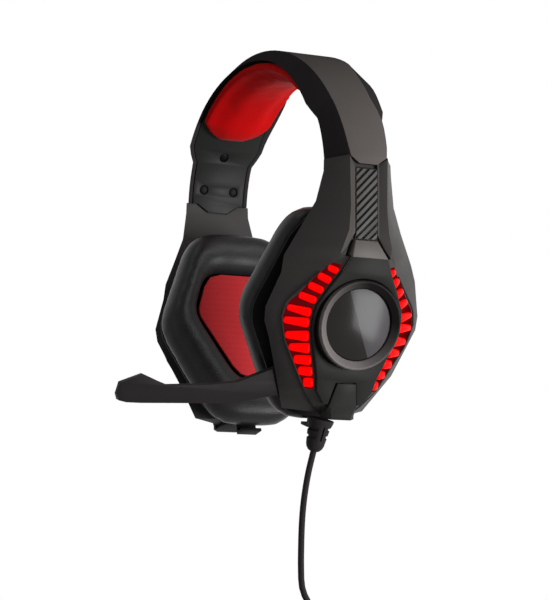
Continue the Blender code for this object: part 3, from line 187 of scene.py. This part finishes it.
def leather(name, rgb, rough, specular):
    g = grained
    mat, graph, shader, where = newFinish(name, {"Specular IOR Level": specular})
    base = linear(rgb)
    cells = graph.node("ShaderNodeTexVoronoi", {"feature": "DISTANCE_TO_EDGE"},
                       {"Vector": where, "Scale": g["pore"]}, "Distance")
    pore = (cells * g["poreGain"]).clamp()
    fold = graph.noise(where, g["fold"], 4.0)
    mottle = (pore * g["poreShare"] + fold * g["foldShare"]).clamp()
    graph.feed(shader, {"Base Color": graph.blend(mottle, scaled(base, g["low"]), scaled(base, g["high"])),
                        "Roughness": (fold * g["rubRange"] + (rough - g["rubRange"] / 2)).clamp(),
                        "Normal": graph.bump(pore * 0.5 + fold * 0.5, g["depth"], g["strength"])})
    return mat


# A wave's scale is this over its pitch in metres
wovenScale = 0.314
woven = {"distortion": 0.6, "axisShare": 0.33, "patch": 60.0, "low": 0.80, "high": 1.16, "depth": 0.00012,
         "strength": 0.5}


def cloth(name, rgb, pitch, sheen):
    k = woven
    mat, graph, shader, where = newFinish(name, {"Roughness": 0.8, "Specular IOR Level": 0.06,
                                                 "Sheen Weight": sheen, "Sheen Roughness": 0.4})
    base = linear(rgb)
    weave = 0.0
    for axis in ("X", "Y", "Z"):
        inputs = {"Vector": where, "Scale": wovenScale / pitch, "Distortion": k["distortion"]}
        wave = graph.node("ShaderNodeTexWave", {"bands_direction": axis}, inputs, "Fac")
        weave = weave + wave * k["axisShare"]
    patch = graph.noise(where, k["patch"])
    mottle = (weave * 0.5 + patch * 0.5).clamp()
    graph.feed(shader, {"Base Color": graph.blend(mottle, scaled(base, k["low"]), scaled(base, k["high"])),
                        "Normal": graph.bump(weave, k["depth"], k["strength"])})
    return mat


lit = {"cloud": 260.0, "faceLow": 0.25, "faceHigh": 0.35, "low": 0.86}


def glow(name, rgb, strength):
    mat, graph, shader, where = newFinish(name, {"Roughness": 0.35, "Specular IOR Level": 0.04,
                                                 "Emission Strength": strength})
    base = linear(rgb)
    cloud = graph.noise(where, lit["cloud"], 2.0)
    face = graph.blend(cloud, scaled(base, lit["faceLow"]), scaled(base, lit["faceHigh"]))
    shine = graph.blend(cloud, scaled(base, lit["low"]), base)
    graph.feed(shader, {"Base Color": face, "Emission Color": shine})
    return mat


brushed = {"scale": 900.0, "low": 0.85, "rubRange": 0.16}


def metal(name, rgb, rough):
    mat, graph, shader, where = newFinish(name, {"Metallic": 1.0})
    base = linear(rgb)
    brush = graph.noise(where, brushed["scale"], 4.0)
    rub = brush * brushed["rubRange"] + (rough - brushed["rubRange"] / 2)
    graph.feed(shader, {"Base Color": graph.blend(brush, scaled(base, brushed["low"]), base),
                        "Roughness": rub.clamp()})
    return mat


looks = {
    # Several looks carry painted light: the lighter panel, wall, rib-top, cap and disc-half tones are
    # painted highlights and reflection, the rib floor is painted shade, the ring satin a painted reflection
    # and the red recess a painted glow
    "shell": plastic("shell_satin", (50, 47, 48), 0.42, 0.0),
    "panel": plastic("panel_satin_painted_highlight", (94, 89, 87), 0.40, 0.0, 0.2),
    "inner": plastic("inner_satin", (30, 32, 30), 0.46, 0.10),
    "arm": plastic("arm_graphite", (65, 63, 62), 0.45, 0.06, 0.35),
    "wall": plastic("wall_graphite_painted_highlight", (72, 69, 67), 0.42, 0.08, 0.35),
    "strip": plastic("strip_grey_painted_highlight", (84, 82, 80), 0.45, 0.10),
    "ribGroovePaintedShade": plastic("strip_floor_painted_shade", (40, 38, 38), 0.5, 0.06),
    "cap": plastic("cap_grey_painted_highlight", (96, 91, 88), 0.38, 0.20),
    "spine": plastic("spine_graphite", (40, 40, 39), 0.42, 0.04, 0.35),
    "ring": paintedReflectionRamp("ring_satin_painted_reflection", (24, 20, 21), (122, 116, 115), 0.30, 0.04),
    "discDark": plastic("disc_dark", (36, 33, 32), 0.20, 0.10, 0.05),
    "discPaintedReflection": plastic("disc_painted_reflection", (72, 70, 72), 0.20, 0.10, 0.05),
    "dark": plastic("dark_moulding", (12, 11, 12), 0.55, 0.06, 0.4),
    "boom": plastic("boom_black", (37, 34, 35), 0.42, 0.03),
    "rubber": plastic("rubber_black", (44, 41, 42), 0.60, 0.04, 0.5),
    "hide": leather("leatherette_black", (40, 40, 41), 0.36, 0.11),
    "pad": cloth("pad_red", (205, 5, 8), 0.0006, 0.05),
    "liner": cloth("liner_red", (190, 48, 52), 0.0008, 0.10),
    "light": glow("light_red", (255, 3, 2), 0.92),
    "recess": glow("recess_red_painted_glow", (96, 2, 8), 0.80),
    "steel": metal("steel_brushed", (190, 190, 192), 0.32),
    # Screw heads near black: a black finish, darkened further as painted shade of the holes they sit in
    "screw": plastic("screw_black_painted_hole_shade", (7, 7, 7), 0.45, 0.05),
    "gold": metal("plug_gold", (222, 186, 110), 0.24),
    "board": plastic("board_green", (20, 70, 34), 0.5, 0.2),
}
print("stage: materials")


# Modelling by hand: pick a piece, apply a modifier, keep it
def pick(piece):
    bpy.ops.object.select_all(action="DESELECT")
    piece.select_set(True)
    bpy.context.view_layer.objects.active = piece


def modify(piece, kind, **values):
    pick(piece)
    bpy.ops.object.modifier_add(type=kind)
    step = piece.modifiers[-1]
    for key, value in values.items():
        setattr(step, key, value)
    bpy.ops.object.modifier_apply(modifier=step.name)


def edit(piece):
    pick(piece)
    bpy.ops.object.mode_set(mode="EDIT")
    bpy.ops.mesh.select_all(action="SELECT")


def leaveEdit():
    bpy.ops.object.mode_set(mode="OBJECT")


def selectFaces(piece, test):
    edit(piece)
    bpy.ops.mesh.select_mode(type="FACE")
    bpy.ops.mesh.select_all(action="DESELECT")
    leaveEdit()
    for face in piece.data.polygons:
        face.select = test(face)
    bpy.ops.object.mode_set(mode="EDIT")


def keep(piece, look, body, node=None):
    piece.data.materials.clear()
    for name in (look,) if isinstance(look, str) else look:
        piece.data.materials.append(looks[name])
    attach(piece, body)
    if node:
        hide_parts(node)
    return piece


def copyNode(node, flat=1.0, name=None, merge=2e-6):
    piece = bpy.data.objects.new(name or "look_" + node, nodes[node].data.copy())
    bpy.context.scene.collection.objects.link(piece)
    edit(piece)
    bpy.ops.mesh.customdata_custom_splitnormals_clear()
    bpy.ops.mesh.remove_doubles(threshold=merge)
    bpy.ops.mesh.dissolve_limited(angle_limit=math.radians(flat))
    leaveEdit()
    return piece


def dress(node, look, edge=0.0004, turns=2, angle=28.0, smoothTo=40.0, paint=None, merge=2e-6):
    piece = copyNode(node, merge=merge)
    modify(piece, "BEVEL", width=edge, segments=turns, limit_method="ANGLE", angle_limit=math.radians(angle),
           use_clamp_overlap=True)
    pick(piece)
    bpy.ops.object.shade_smooth_by_angle(angle=math.radians(smoothTo))
    keep(piece, look, bodyOf[node], node)
    if paint:
        for face in piece.data.polygons:
            face.material_index = paint(face)
    return piece


# Cup frame: u to the back, w up along the face, n out of the face, in mm from the ring's centre
cup = {"lean": math.radians(15.0), "x": 0.0842994, "z": -0.1342983}
leanSin, leanCos = math.sin(cup["lean"]), math.cos(cup["lean"])
creaseLine = [(85, 10.7, -14.5), (72, 10.4, -11.4), (57, 10.2, -7.0), (46, 11.2, -3.9), (34, 15.0, -2.6),
              (26, 21.0, -8.0), (8, 36.4, -13.8), (0, 37.8, -13.8), (-11, 34.8, -13.8), (-35, 20.8, -13.2),
              (-41, 15.5, -14.4), (-44, 13.5, -15.0), (-47, 11.5, -15.6)]
seatLine = [(85, 7.2, -17.5), (57, 7.2, -9.7), (46, 7.2, -6.7), (38.5, 8.2, -5.8), (34, 10.0, -0.9),
            (26, 14.0, -1.6), (17, 19.39, -3.1), (8, 24.0, -4.5), (3.5, 24.78, -4.9), (-4, 24.8, -5.5),
            (-12, 22.39, -6.4), (-28, 17.0, -8.2), (-35, 15.7, -9.0), (-41, 11.0, -9.5), (-44, 6.6, -9.8),
            (-47, 5.5, -10.0)]


def cupPoint(u, w, n, side=1):
    x = cup["x"] + (w * leanSin + n * leanCos) * mm
    return Vector((side * x, u * mm, cup["z"] + (w * leanCos - n * leanSin) * mm))


def cupLocal(p):
    x, z = (abs(p[0]) - cup["x"]) / mm, (p[2] - cup["z"]) / mm
    return p[1] / mm, x * leanSin + z * leanCos, x * leanCos - z * leanSin


def onLine(line, w):
    w = min(max(w, line[-1][0]), line[0][0])
    for (w0, h0, n0), (w1, h1, n1) in zip(line, line[1:]):
        if w0 >= w >= w1:
            t = (w0 - w) / (w0 - w1)
            return Vector((h0 + (h1 - h0) * t, w, n0 + (n1 - n0) * t))


def slopeN(u, w):
    outer, inner = onLine(creaseLine, w), onLine(seatLine, w)
    return inner.z + (outer.z - inner.z) * (u - inner.x) / (outer.x - inner.x)


# The middle of the arch lies this far below its top, in metres
archDepth = 0.06
# Which faces take a piece's other looks, mostly painted highlights, reflection, shade and glow: limits in mm
# in the cup frame, turns in radians
paintAt = {"panelTilt": 0.25, "armLow": 36.0, "onSlope": 0.8, "inside": 1.0, "recess": (-36.0, 29.0),
           "recessDepth": -5.0, "capLow": 32.9, "ribDepth": 2.7, "ringR": 22.45, "ringN": -0.5,
           "split": math.radians(24.0)}


# The band's outer panel takes a lighter satin than its bevels: a painted highlight where the panel faces the
# key light
def panelHighlightMask(face):
    outward = face.normal.x * face.center.x + face.normal.z * archDepth > 0
    return 1 if abs(face.normal.y) < paintAt["panelTilt"] and outward else 0


def armPaintedLightMask(face):
    u, w, n = cupLocal(face.center)
    u = abs(u)
    depth, a = n - slopeN(u, w), paintAt
    beside = onLine(seatLine, w).x - a["inside"] < u < onLine(creaseLine, w).x
    # V-wall faces high on the slope take a lighter graphite: a painted highlight
    if beside and w > a["armLow"] and face.normal.y * face.center.y < 0 and abs(depth) < a["onSlope"]:
        return 2
    # Recess floors between the fins take a dim red emission: a painted glow of the lit fins on a dark floor
    inRecess = a["recess"][0] < w < a["recess"][1] and a["recessDepth"] < depth < -a["onSlope"]
    return 1 if beside and inRecess else 0


# The top of the spine panel takes a lighter grey than the rest: a painted highlight
def capHighlightMask(face):
    return 1 if cupLocal(face.center)[1] > paintAt["capLow"] else 0


# Rib tops take a lighter grey as a painted highlight, the grooves between them a darker grey as painted
# shade
def ribLightAndShadeMask(face):
    u, w, n = cupLocal(face.center)
    return 1 if n > onLine(creaseLine, w).z - paintAt["ribDepth"] else 0


def ringPaint(face):
    u, w, n = cupLocal(face.center)
    return 1 if math.hypot(u, w) > paintAt["ringR"] and n < paintAt["ringN"] else 0


# One half of the cup disc takes a lighter tone, a painted reflection; the other half keeps the disc's dark
# colour
def discReflectionMask(face):
    u, w, n = cupLocal(face.center)
    return 1 if u * math.cos(paintAt["split"]) + w * math.sin(paintAt["split"]) > 0 else 0


# Merge distance that closes the small ledge at the root of the band's tongues
ledge = 0.00045
dress("headband_shell", ("shell", "panel"), 0.0005, paint=panelHighlightMask, merge=ledge)
dress("headband_inner_cover", "inner", 0.0003)
for k in range(1, 7):
    dress(f"band_screw_{k}", "screw", 0.0002)
for side in ("left", "right"):
    dress(f"arm_frame_{side}", ("arm", "recess", "wall"), 0.0005, turns=3, paint=armPaintedLightMask)
    dress(f"rib_strip_{side}", ("ribGroovePaintedShade", "strip"), 0.00018, paint=ribLightAndShadeMask)
    dress(f"spine_panel_{side}", ("spine", "cap"), 0.0004, paint=capHighlightMask)
    dress(f"bezel_ring_{side}", ("ring", "dark"), 0.0003, angle=20.0, smoothTo=15.0, paint=ringPaint)
    dress(f"cup_disc_{side}", ("discDark", "discPaintedReflection"), 0.0003, paint=discReflectionMask)
    dress(f"chin_piece_{side}", "spine", 0.0004)
    dress(f"back_cover_{side}", "dark", 0.0003)
    dress(f"cup_shell_{side}", "dark", 0.0004)
    dress(f"ear_liner_{side}", "liner", 0.0004)
    for name, look in (("slider_blade", "steel"), ("cup_pin", "steel"), ("driver", "steel"),
                       ("baffle", "dark"), ("led_board", "board")):
        dress(f"{name}_{side}", look, 0.0002)
dress("headband_spring", "steel", 0.0002)
dress("boom_arm", "boom", 0.0006, turns=3)
dress("boom_screw", "screw", 0.0002)
dress("mic_capsule", "steel", 0.0002)
dress("mic_grille", "dark", 0.0001)
dress("strain_relief", "rubber", 0.0003, angle=25.0, smoothTo=60.0)
cordTie = dress("cord_tie", "rubber", 0.0003)
plugGrip = dress("plug_grip", "rubber", 0.0003, angle=25.0, smoothTo=60.0)
plugPin = dress("plug_pin", "gold", 0.00012, angle=25.0, smoothTo=60.0)
print("stage: rigid pieces")

# Dark sheets laid in the seams at the ends of the headband: painted shade in the gaps
seamShade = {"thick": 0.00028, "above": (0.0025, 0.0075), "facing": -0.9}


def addSeamShade(node, g):
    piece = copyNode(node, name="seam_shade_" + node, merge=ledge)
    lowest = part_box(node)[0].z
    selectFaces(piece, lambda face: face.normal.z < g["facing"]
                and g["above"][0] < face.center.z - lowest < g["above"][1])
    bpy.ops.mesh.select_all(action="INVERT")
    bpy.ops.mesh.delete(type="FACE")
    leaveEdit()
    modify(piece, "SOLIDIFY", thickness=g["thick"], offset=1.0)
    keep(piece, "dark", "headband")


for node in ("headband_shell", "headband_inner_cover"):
    addSeamShade(node, seamShade)
print("stage: painted_seam_shade")

# Lit fins, rounded bars in each recess: places in mm along the crease and the seat's edge, from the top down
fin = {"outerW": [27.2, 22.7, 17.6, 12.3, 5.2, -1.5, -8.9, -14.8, -20.8, -26.2, -31.8],
       "innerW": [25.0, 19.9, 14.7, 9.6, 3.6, -1.3, -7.9, -14.0, -20.0, -25.8, -31.4],
       "rim": [1.5, 1.4, 2.0, 2.8, 2.1, 1.5, 1.5, 1.5, 1.5, 1.5, 1.8],
       "gap": [0.8, 0.8, 0.8, 0.8, 0.8, 0.8, 0.8, 0.9, 0.9, 1.0, 0.9],
       "outerThick": [3.2, 3.5, 3.6, 3.5, 3.0, 3.2, 3.4, 3.3, 4.1, 4.0, 4.4],
       "innerThick": [3.3, 3.7, 3.7, 3.7, 4.6, 4.9, 5.5, 5.4, 5.0, 4.9, 4.9],
       "deep": -2.4, "proud": 0.7, "round": 0.0014, "turns": 4, "corner": math.radians(40.0)}


def finCorners(k, f):
    outer, inner = onLine(creaseLine, f["outerW"][k]), onLine(seatLine, f["innerW"][k])
    across = inner - outer
    reach = across.normalized()
    up = Vector((across.z, 0.0, -across.x)).normalized()
    along = up.cross(reach)
    ends = ((outer + reach * f["rim"][k], f["outerThick"][k]),
            (inner - reach * f["gap"][k], f["innerThick"][k]))
    return {(i, j, h): spot + along * (thick / 2 * j) + up * (f["proud"] if h > 0 else f["deep"])
            for i, (spot, thick) in zip((-1, 1), ends) for j in (-1, 1) for h in (-1, 1)}


def addFins(node, side, facing, f):
    bars = []
    for k in range(len(f["outerW"])):
        bpy.ops.mesh.primitive_cube_add(size=2.0)
        bar = bpy.context.object
        corners = finCorners(k, f)
        for vert in bar.data.vertices:
            p = corners[tuple(1 if c > 0 else -1 for c in vert.co)]
            vert.co = cupPoint(facing * p.x, p.y, p.z, side)
        edit(bar)
        bpy.ops.mesh.normals_make_consistent(inside=False)
        leaveEdit()
        modify(bar, "BEVEL", width=f["round"], segments=f["turns"], limit_method="ANGLE",
               angle_limit=f["corner"])
        bars.append(bar)
    pick(bars[0])
    for bar in bars:
        bar.select_set(True)
    bpy.ops.object.join()
    piece = bpy.context.object
    piece.name = "look_" + node
    bpy.ops.object.shade_smooth()
    keep(piece, "light", bodyOf[node], node)


for side, sign in (("left", 1), ("right", -1)):
    addFins(f"front_light_guide_{side}", sign, -1, fin)
    addFins(f"rear_light_guide_{side}", sign, 1, fin)
print("stage: light fins")

# Raised bead along the outer rim of each recess, down to the chin
bead = {"levels": (24, 17, 10, 7, 4, 0, -4, -8, -12, -20, -28, -34, -38, -40.5), "inset": 0.75, "lift": 0.12,
        "radius": 0.00055, "tail": [(13.6, -42.6), (11.6, -44.3), (9.6, -45.2)]}


def addTube(name, points, radius, sides=3):
    data = bpy.data.curves.new(name, "CURVE")
    data.dimensions = "3D"
    data.bevel_depth = radius
    data.bevel_resolution = sides
    data.use_fill_caps = True
    line = data.splines.new("POLY")
    line.points.add(len(points) - 1)
    for spot, p in zip(line.points, points):
        spot.co = (*p, 1.0)
    line.use_smooth = True
    piece = bpy.data.objects.new(name, data)
    bpy.context.scene.collection.objects.link(piece)
    return piece


def addBead(name, side, facing, body, b):
    path = []
    for w in b["levels"]:
        outer, inner = onLine(creaseLine, w), onLine(seatLine, w)
        path.append(outer + (inner - outer).normalized() * b["inset"])
    path += [Vector((u, w, slopeN(u, w))) for u, w in b["tail"]]
    piece = addTube(name, [cupPoint(facing * p.x, p.y, p.z + b["lift"], side) for p in path], b["radius"])
    pick(piece)
    bpy.ops.object.convert(target="MESH")
    keep(bpy.context.object, "spine", body)


for side, sign in (("left", 1), ("right", -1)):
    addBead(f"front_bead_{side}", sign, -1, "arm_" + side, bead)
    addBead(f"rear_bead_{side}", sign, 1, "arm_" + side, bead)
print("stage: beads")

# Padded pieces, blown up a little as cloth and held at the back
cushion = {"look": "hide", "voxel": 0.0026, "ease": 4, "cap": 0.0012, "wrinkle": 0.0002, "scale": 55.0}
bandPad = {"look": "pad", "voxel": 0.0015, "ease": 8, "cap": 0.0004, "wrinkle": 0.00005, "scale": 60.0}
soft = {"ear_cushion_left": cushion, "ear_cushion_right": cushion, "headband_pad": bandPad}
puff = {"pressure": 4.0, "frames": 20, "shrink": 0.0005, "heldFacing": 0.55, "smooth": 0.5, "fineShare": 0.5,
        "fineScale": 2.3}


def backing(node, p):
    if node == "headband_pad":
        return Vector((p.x, 0.0, p.z + archDepth)).normalized()
    return Vector((math.copysign(leanCos, p.x), 0.0, -leanSin))


def blowUp(piece, node, s):
    held = piece.vertex_groups.new(name="held")
    fixed = [v.index for v in piece.data.vertices if v.normal.dot(backing(node, v.co)) > puff["heldFacing"]]
    held.add(fixed, 1.0, "REPLACE")
    start = [v.co.copy() for v in piece.data.vertices]
    pick(piece)
    bpy.ops.object.modifier_add(type="CLOTH")
    step = piece.modifiers[-1]
    step.settings.vertex_group_mass = "held"
    step.settings.use_pressure = True
    step.settings.uniform_pressure_force = puff["pressure"]
    step.settings.effector_weights.gravity = 0.0
    for k in range(1, puff["frames"] + 1):
        bpy.context.scene.frame_set(k)
    bpy.ops.object.modifier_apply(modifier=step.name)
    bpy.context.scene.frame_set(1)
    for vert, before in zip(piece.data.vertices, start):
        move = vert.co - before
        if move.length > s["cap"]:
            vert.co = before + move * (s["cap"] / move.length)


def addSoft(node, s):
    piece = copyNode(node, 0.1)
    modify(piece, "REMESH", mode="VOXEL", voxel_size=s["voxel"])
    modify(piece, "SMOOTH", factor=puff["smooth"], iterations=s["ease"])
    modify(piece, "DISPLACE", strength=-puff["shrink"], mid_level=0.0)
    blowUp(piece, node, s)
    modify(piece, "SMOOTH", factor=puff["smooth"], iterations=s["ease"])
    modify(piece, "SUBSURF", levels=1, render_levels=1)
    mesh = piece.data
    for vert, normal in zip(mesh.vertices, [v.normal.copy() for v in mesh.vertices]):
        fine = noise.noise(vert.co * s["scale"] * puff["fineScale"])
        lift = noise.noise(vert.co * s["scale"]) + puff["fineShare"] * fine
        vert.co += normal * (s["wrinkle"] * lift)
    pick(piece)
    bpy.ops.object.shade_smooth()
    keep(piece, s["look"], bodyOf[node], node)


for node, facts in soft.items():
    addSoft(node, facts)
print("stage: padded pieces")

# Cord: the route of the solid, as one tube from the relief to the plug
cord = {"diameter": 0.0033, "outerR": 22.5, "turns": 10.0 + 60.0 / 360.0, "layers": 4, "pitch": 4.0,
        "endRun": 13.0, "coilOffset": (-6.8, 14.0, -79.0), "steps": 24, "spacing": 0.004, "approach": 0.0036,
        "route": [(-2.3, -1.1, -8.6), (-4.2, -1.9, -17.4), (-5.6, -2.5, -27.0), (-6.4, -2.8, -37.0),
                  (-6.7, -2.9, -48.0), (-6.8, -2.8, -58.0), (-6.8, -2.1, -67.0), (-6.8, 1.2, -74.0),
                  (-6.8, 6.3, -78.2)]}
relief = {"lean": math.radians(6.0), "u": -7.8, "n": -13.4, "topR": 6.8, "length": 16.4, "gap": 0.3,
          "housingLow": -47.0, "lip": 0.6 + 1.7}
reliefTop = relief["housingLow"] - relief["lip"] - relief["topR"] * math.sin(relief["lean"])
reliefRun = relief["length"] + relief["gap"]
cordExit = cupPoint(relief["u"] - reliefRun * math.sin(relief["lean"]),
                    reliefTop - reliefRun * math.cos(relief["lean"]), relief["n"])


def ease(x):
    x = min(max(x, 0.0), 1.0)
    return x * x * (3 - 2 * x)


def coilRoute(c, top):
    perLayer = c["turns"] / c["layers"]
    centre = top - Vector((0.0, 0.0, c["outerR"] * mm))
    count = int(c["turns"] * c["steps"] + 0.5)
    points = []
    for i in range(count + 1):
        turn = c["turns"] * i / count
        share = (turn / perLayer) % 2.0
        radius = c["outerR"] - c["pitch"] * perLayer * (share if share <= 1.0 else 2.0 - share)
        layer = sum(ease((turn - k * perLayer) / 0.5 + 0.5) for k in range(1, c["layers"]))
        angle = 2 * math.pi * turn
        spot = Vector((-c["pitch"] * layer, radius * math.sin(angle), radius * math.cos(angle)))
        points.append(centre + spot * mm)
    last = 2 * math.pi * c["turns"]
    leave = Vector((0.0, math.cos(last), -math.sin(last)))
    return points + [points[-1] + leave * (c["endRun"] * mm * s) for s in (0.5, 1.0)]


def smoothRoute(points, spacing):
    dense = []
    guard = [points[0] * 2 - points[1]] + points + [points[-1] * 2 - points[-2]]
    for a, b, c, d in zip(guard, guard[1:], guard[2:], guard[3:]):
        steps = max(int((c - b).length / spacing + 0.5), 1)
        for k in range(steps):
            t = k / steps
            dense.append(((b * 2) + (c - a) * t + (a * 2 - b * 5 + c * 4 - d) * t ** 2
                          + (b * 3 - a - c * 3 + d) * t ** 3) * 0.5)
    return dense


def addCord(c):
    coil = coilRoute(c, cordExit + Vector(c["coilOffset"]) * mm)
    lead = [cordExit] + [cordExit + Vector(p) * mm for p in c["route"]]
    lead += [coil[0] - Vector((0.0, c["approach"], 0.0)), coil[0]]
    route = smoothRoute(lead, c["spacing"]) + coil
    piece = keep(addTube("look_cord", route, c["diameter"] / 2), "rubber", "arm_left")
    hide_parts("cord_lead", "cord_coil")
    run = sum((b - a).length for a, b in zip(route, route[1:]))
    print("cord length", round(run, 3))


addCord(cord)
print("stage: cord")


# Light and background
lamps = {"right": {"place": (1.2, 0.85, -0.40), "aim": (0.0, 0.0, -0.08), "size": (0.7, 0.7), "power": 27.0},
         "front": {"place": (0.6, -1.5, 0.10), "aim": (0.0, 0.0, -0.10), "size": (1.2, 1.2), "power": 2.8},
         "top": {"place": (0.4, -0.5, 1.3), "aim": (0.0, 0.0, -0.10), "size": (0.5, 0.5), "power": 2.5},
         "gloss": {"place": (1.06, 0.68, 0.73), "aim": (-0.05, 0.0, -0.10), "size": (0.5, 0.5), "power": 7.0,
                   "diffuse": False}}


def addLamp(name, facts):
    data = bpy.data.lights.new(name, "AREA")
    data.energy = facts["power"]
    data.shape = "RECTANGLE"
    data.size, data.size_y = facts["size"]
    lamp = bpy.data.objects.new(name, data)
    bpy.context.scene.collection.objects.link(lamp)
    lamp.location = facts["place"]
    lamp.visible_diffuse = facts.get("diffuse", True)
    lamp.rotation_euler = (Vector(facts["aim"]) - lamp.location).to_track_quat("-Z", "Y").to_euler()


def addWorld(lightLevel):
    world = bpy.data.worlds.new("studio")
    bpy.context.scene.world = world
    world.use_nodes = True
    graph = Graph(world.node_tree)
    seen = 0.0
    for ray in ("Is Camera Ray", "Is Glossy Ray", "Is Transmission Ray"):
        seen = seen + graph.node("ShaderNodeLightPath", output=ray)
    strength = seen.clamp() * (1.0 - lightLevel) + lightLevel
    graph.feed(world.node_tree.nodes["Background"], {"Color": (1.0, 1.0, 1.0, 1.0), "Strength": strength})


for name, facts in lamps.items():
    addLamp(name, facts)
addWorld(lightLevel=0.14)
bpy.context.scene.view_settings.view_transform = "Standard"
print("stage: done")
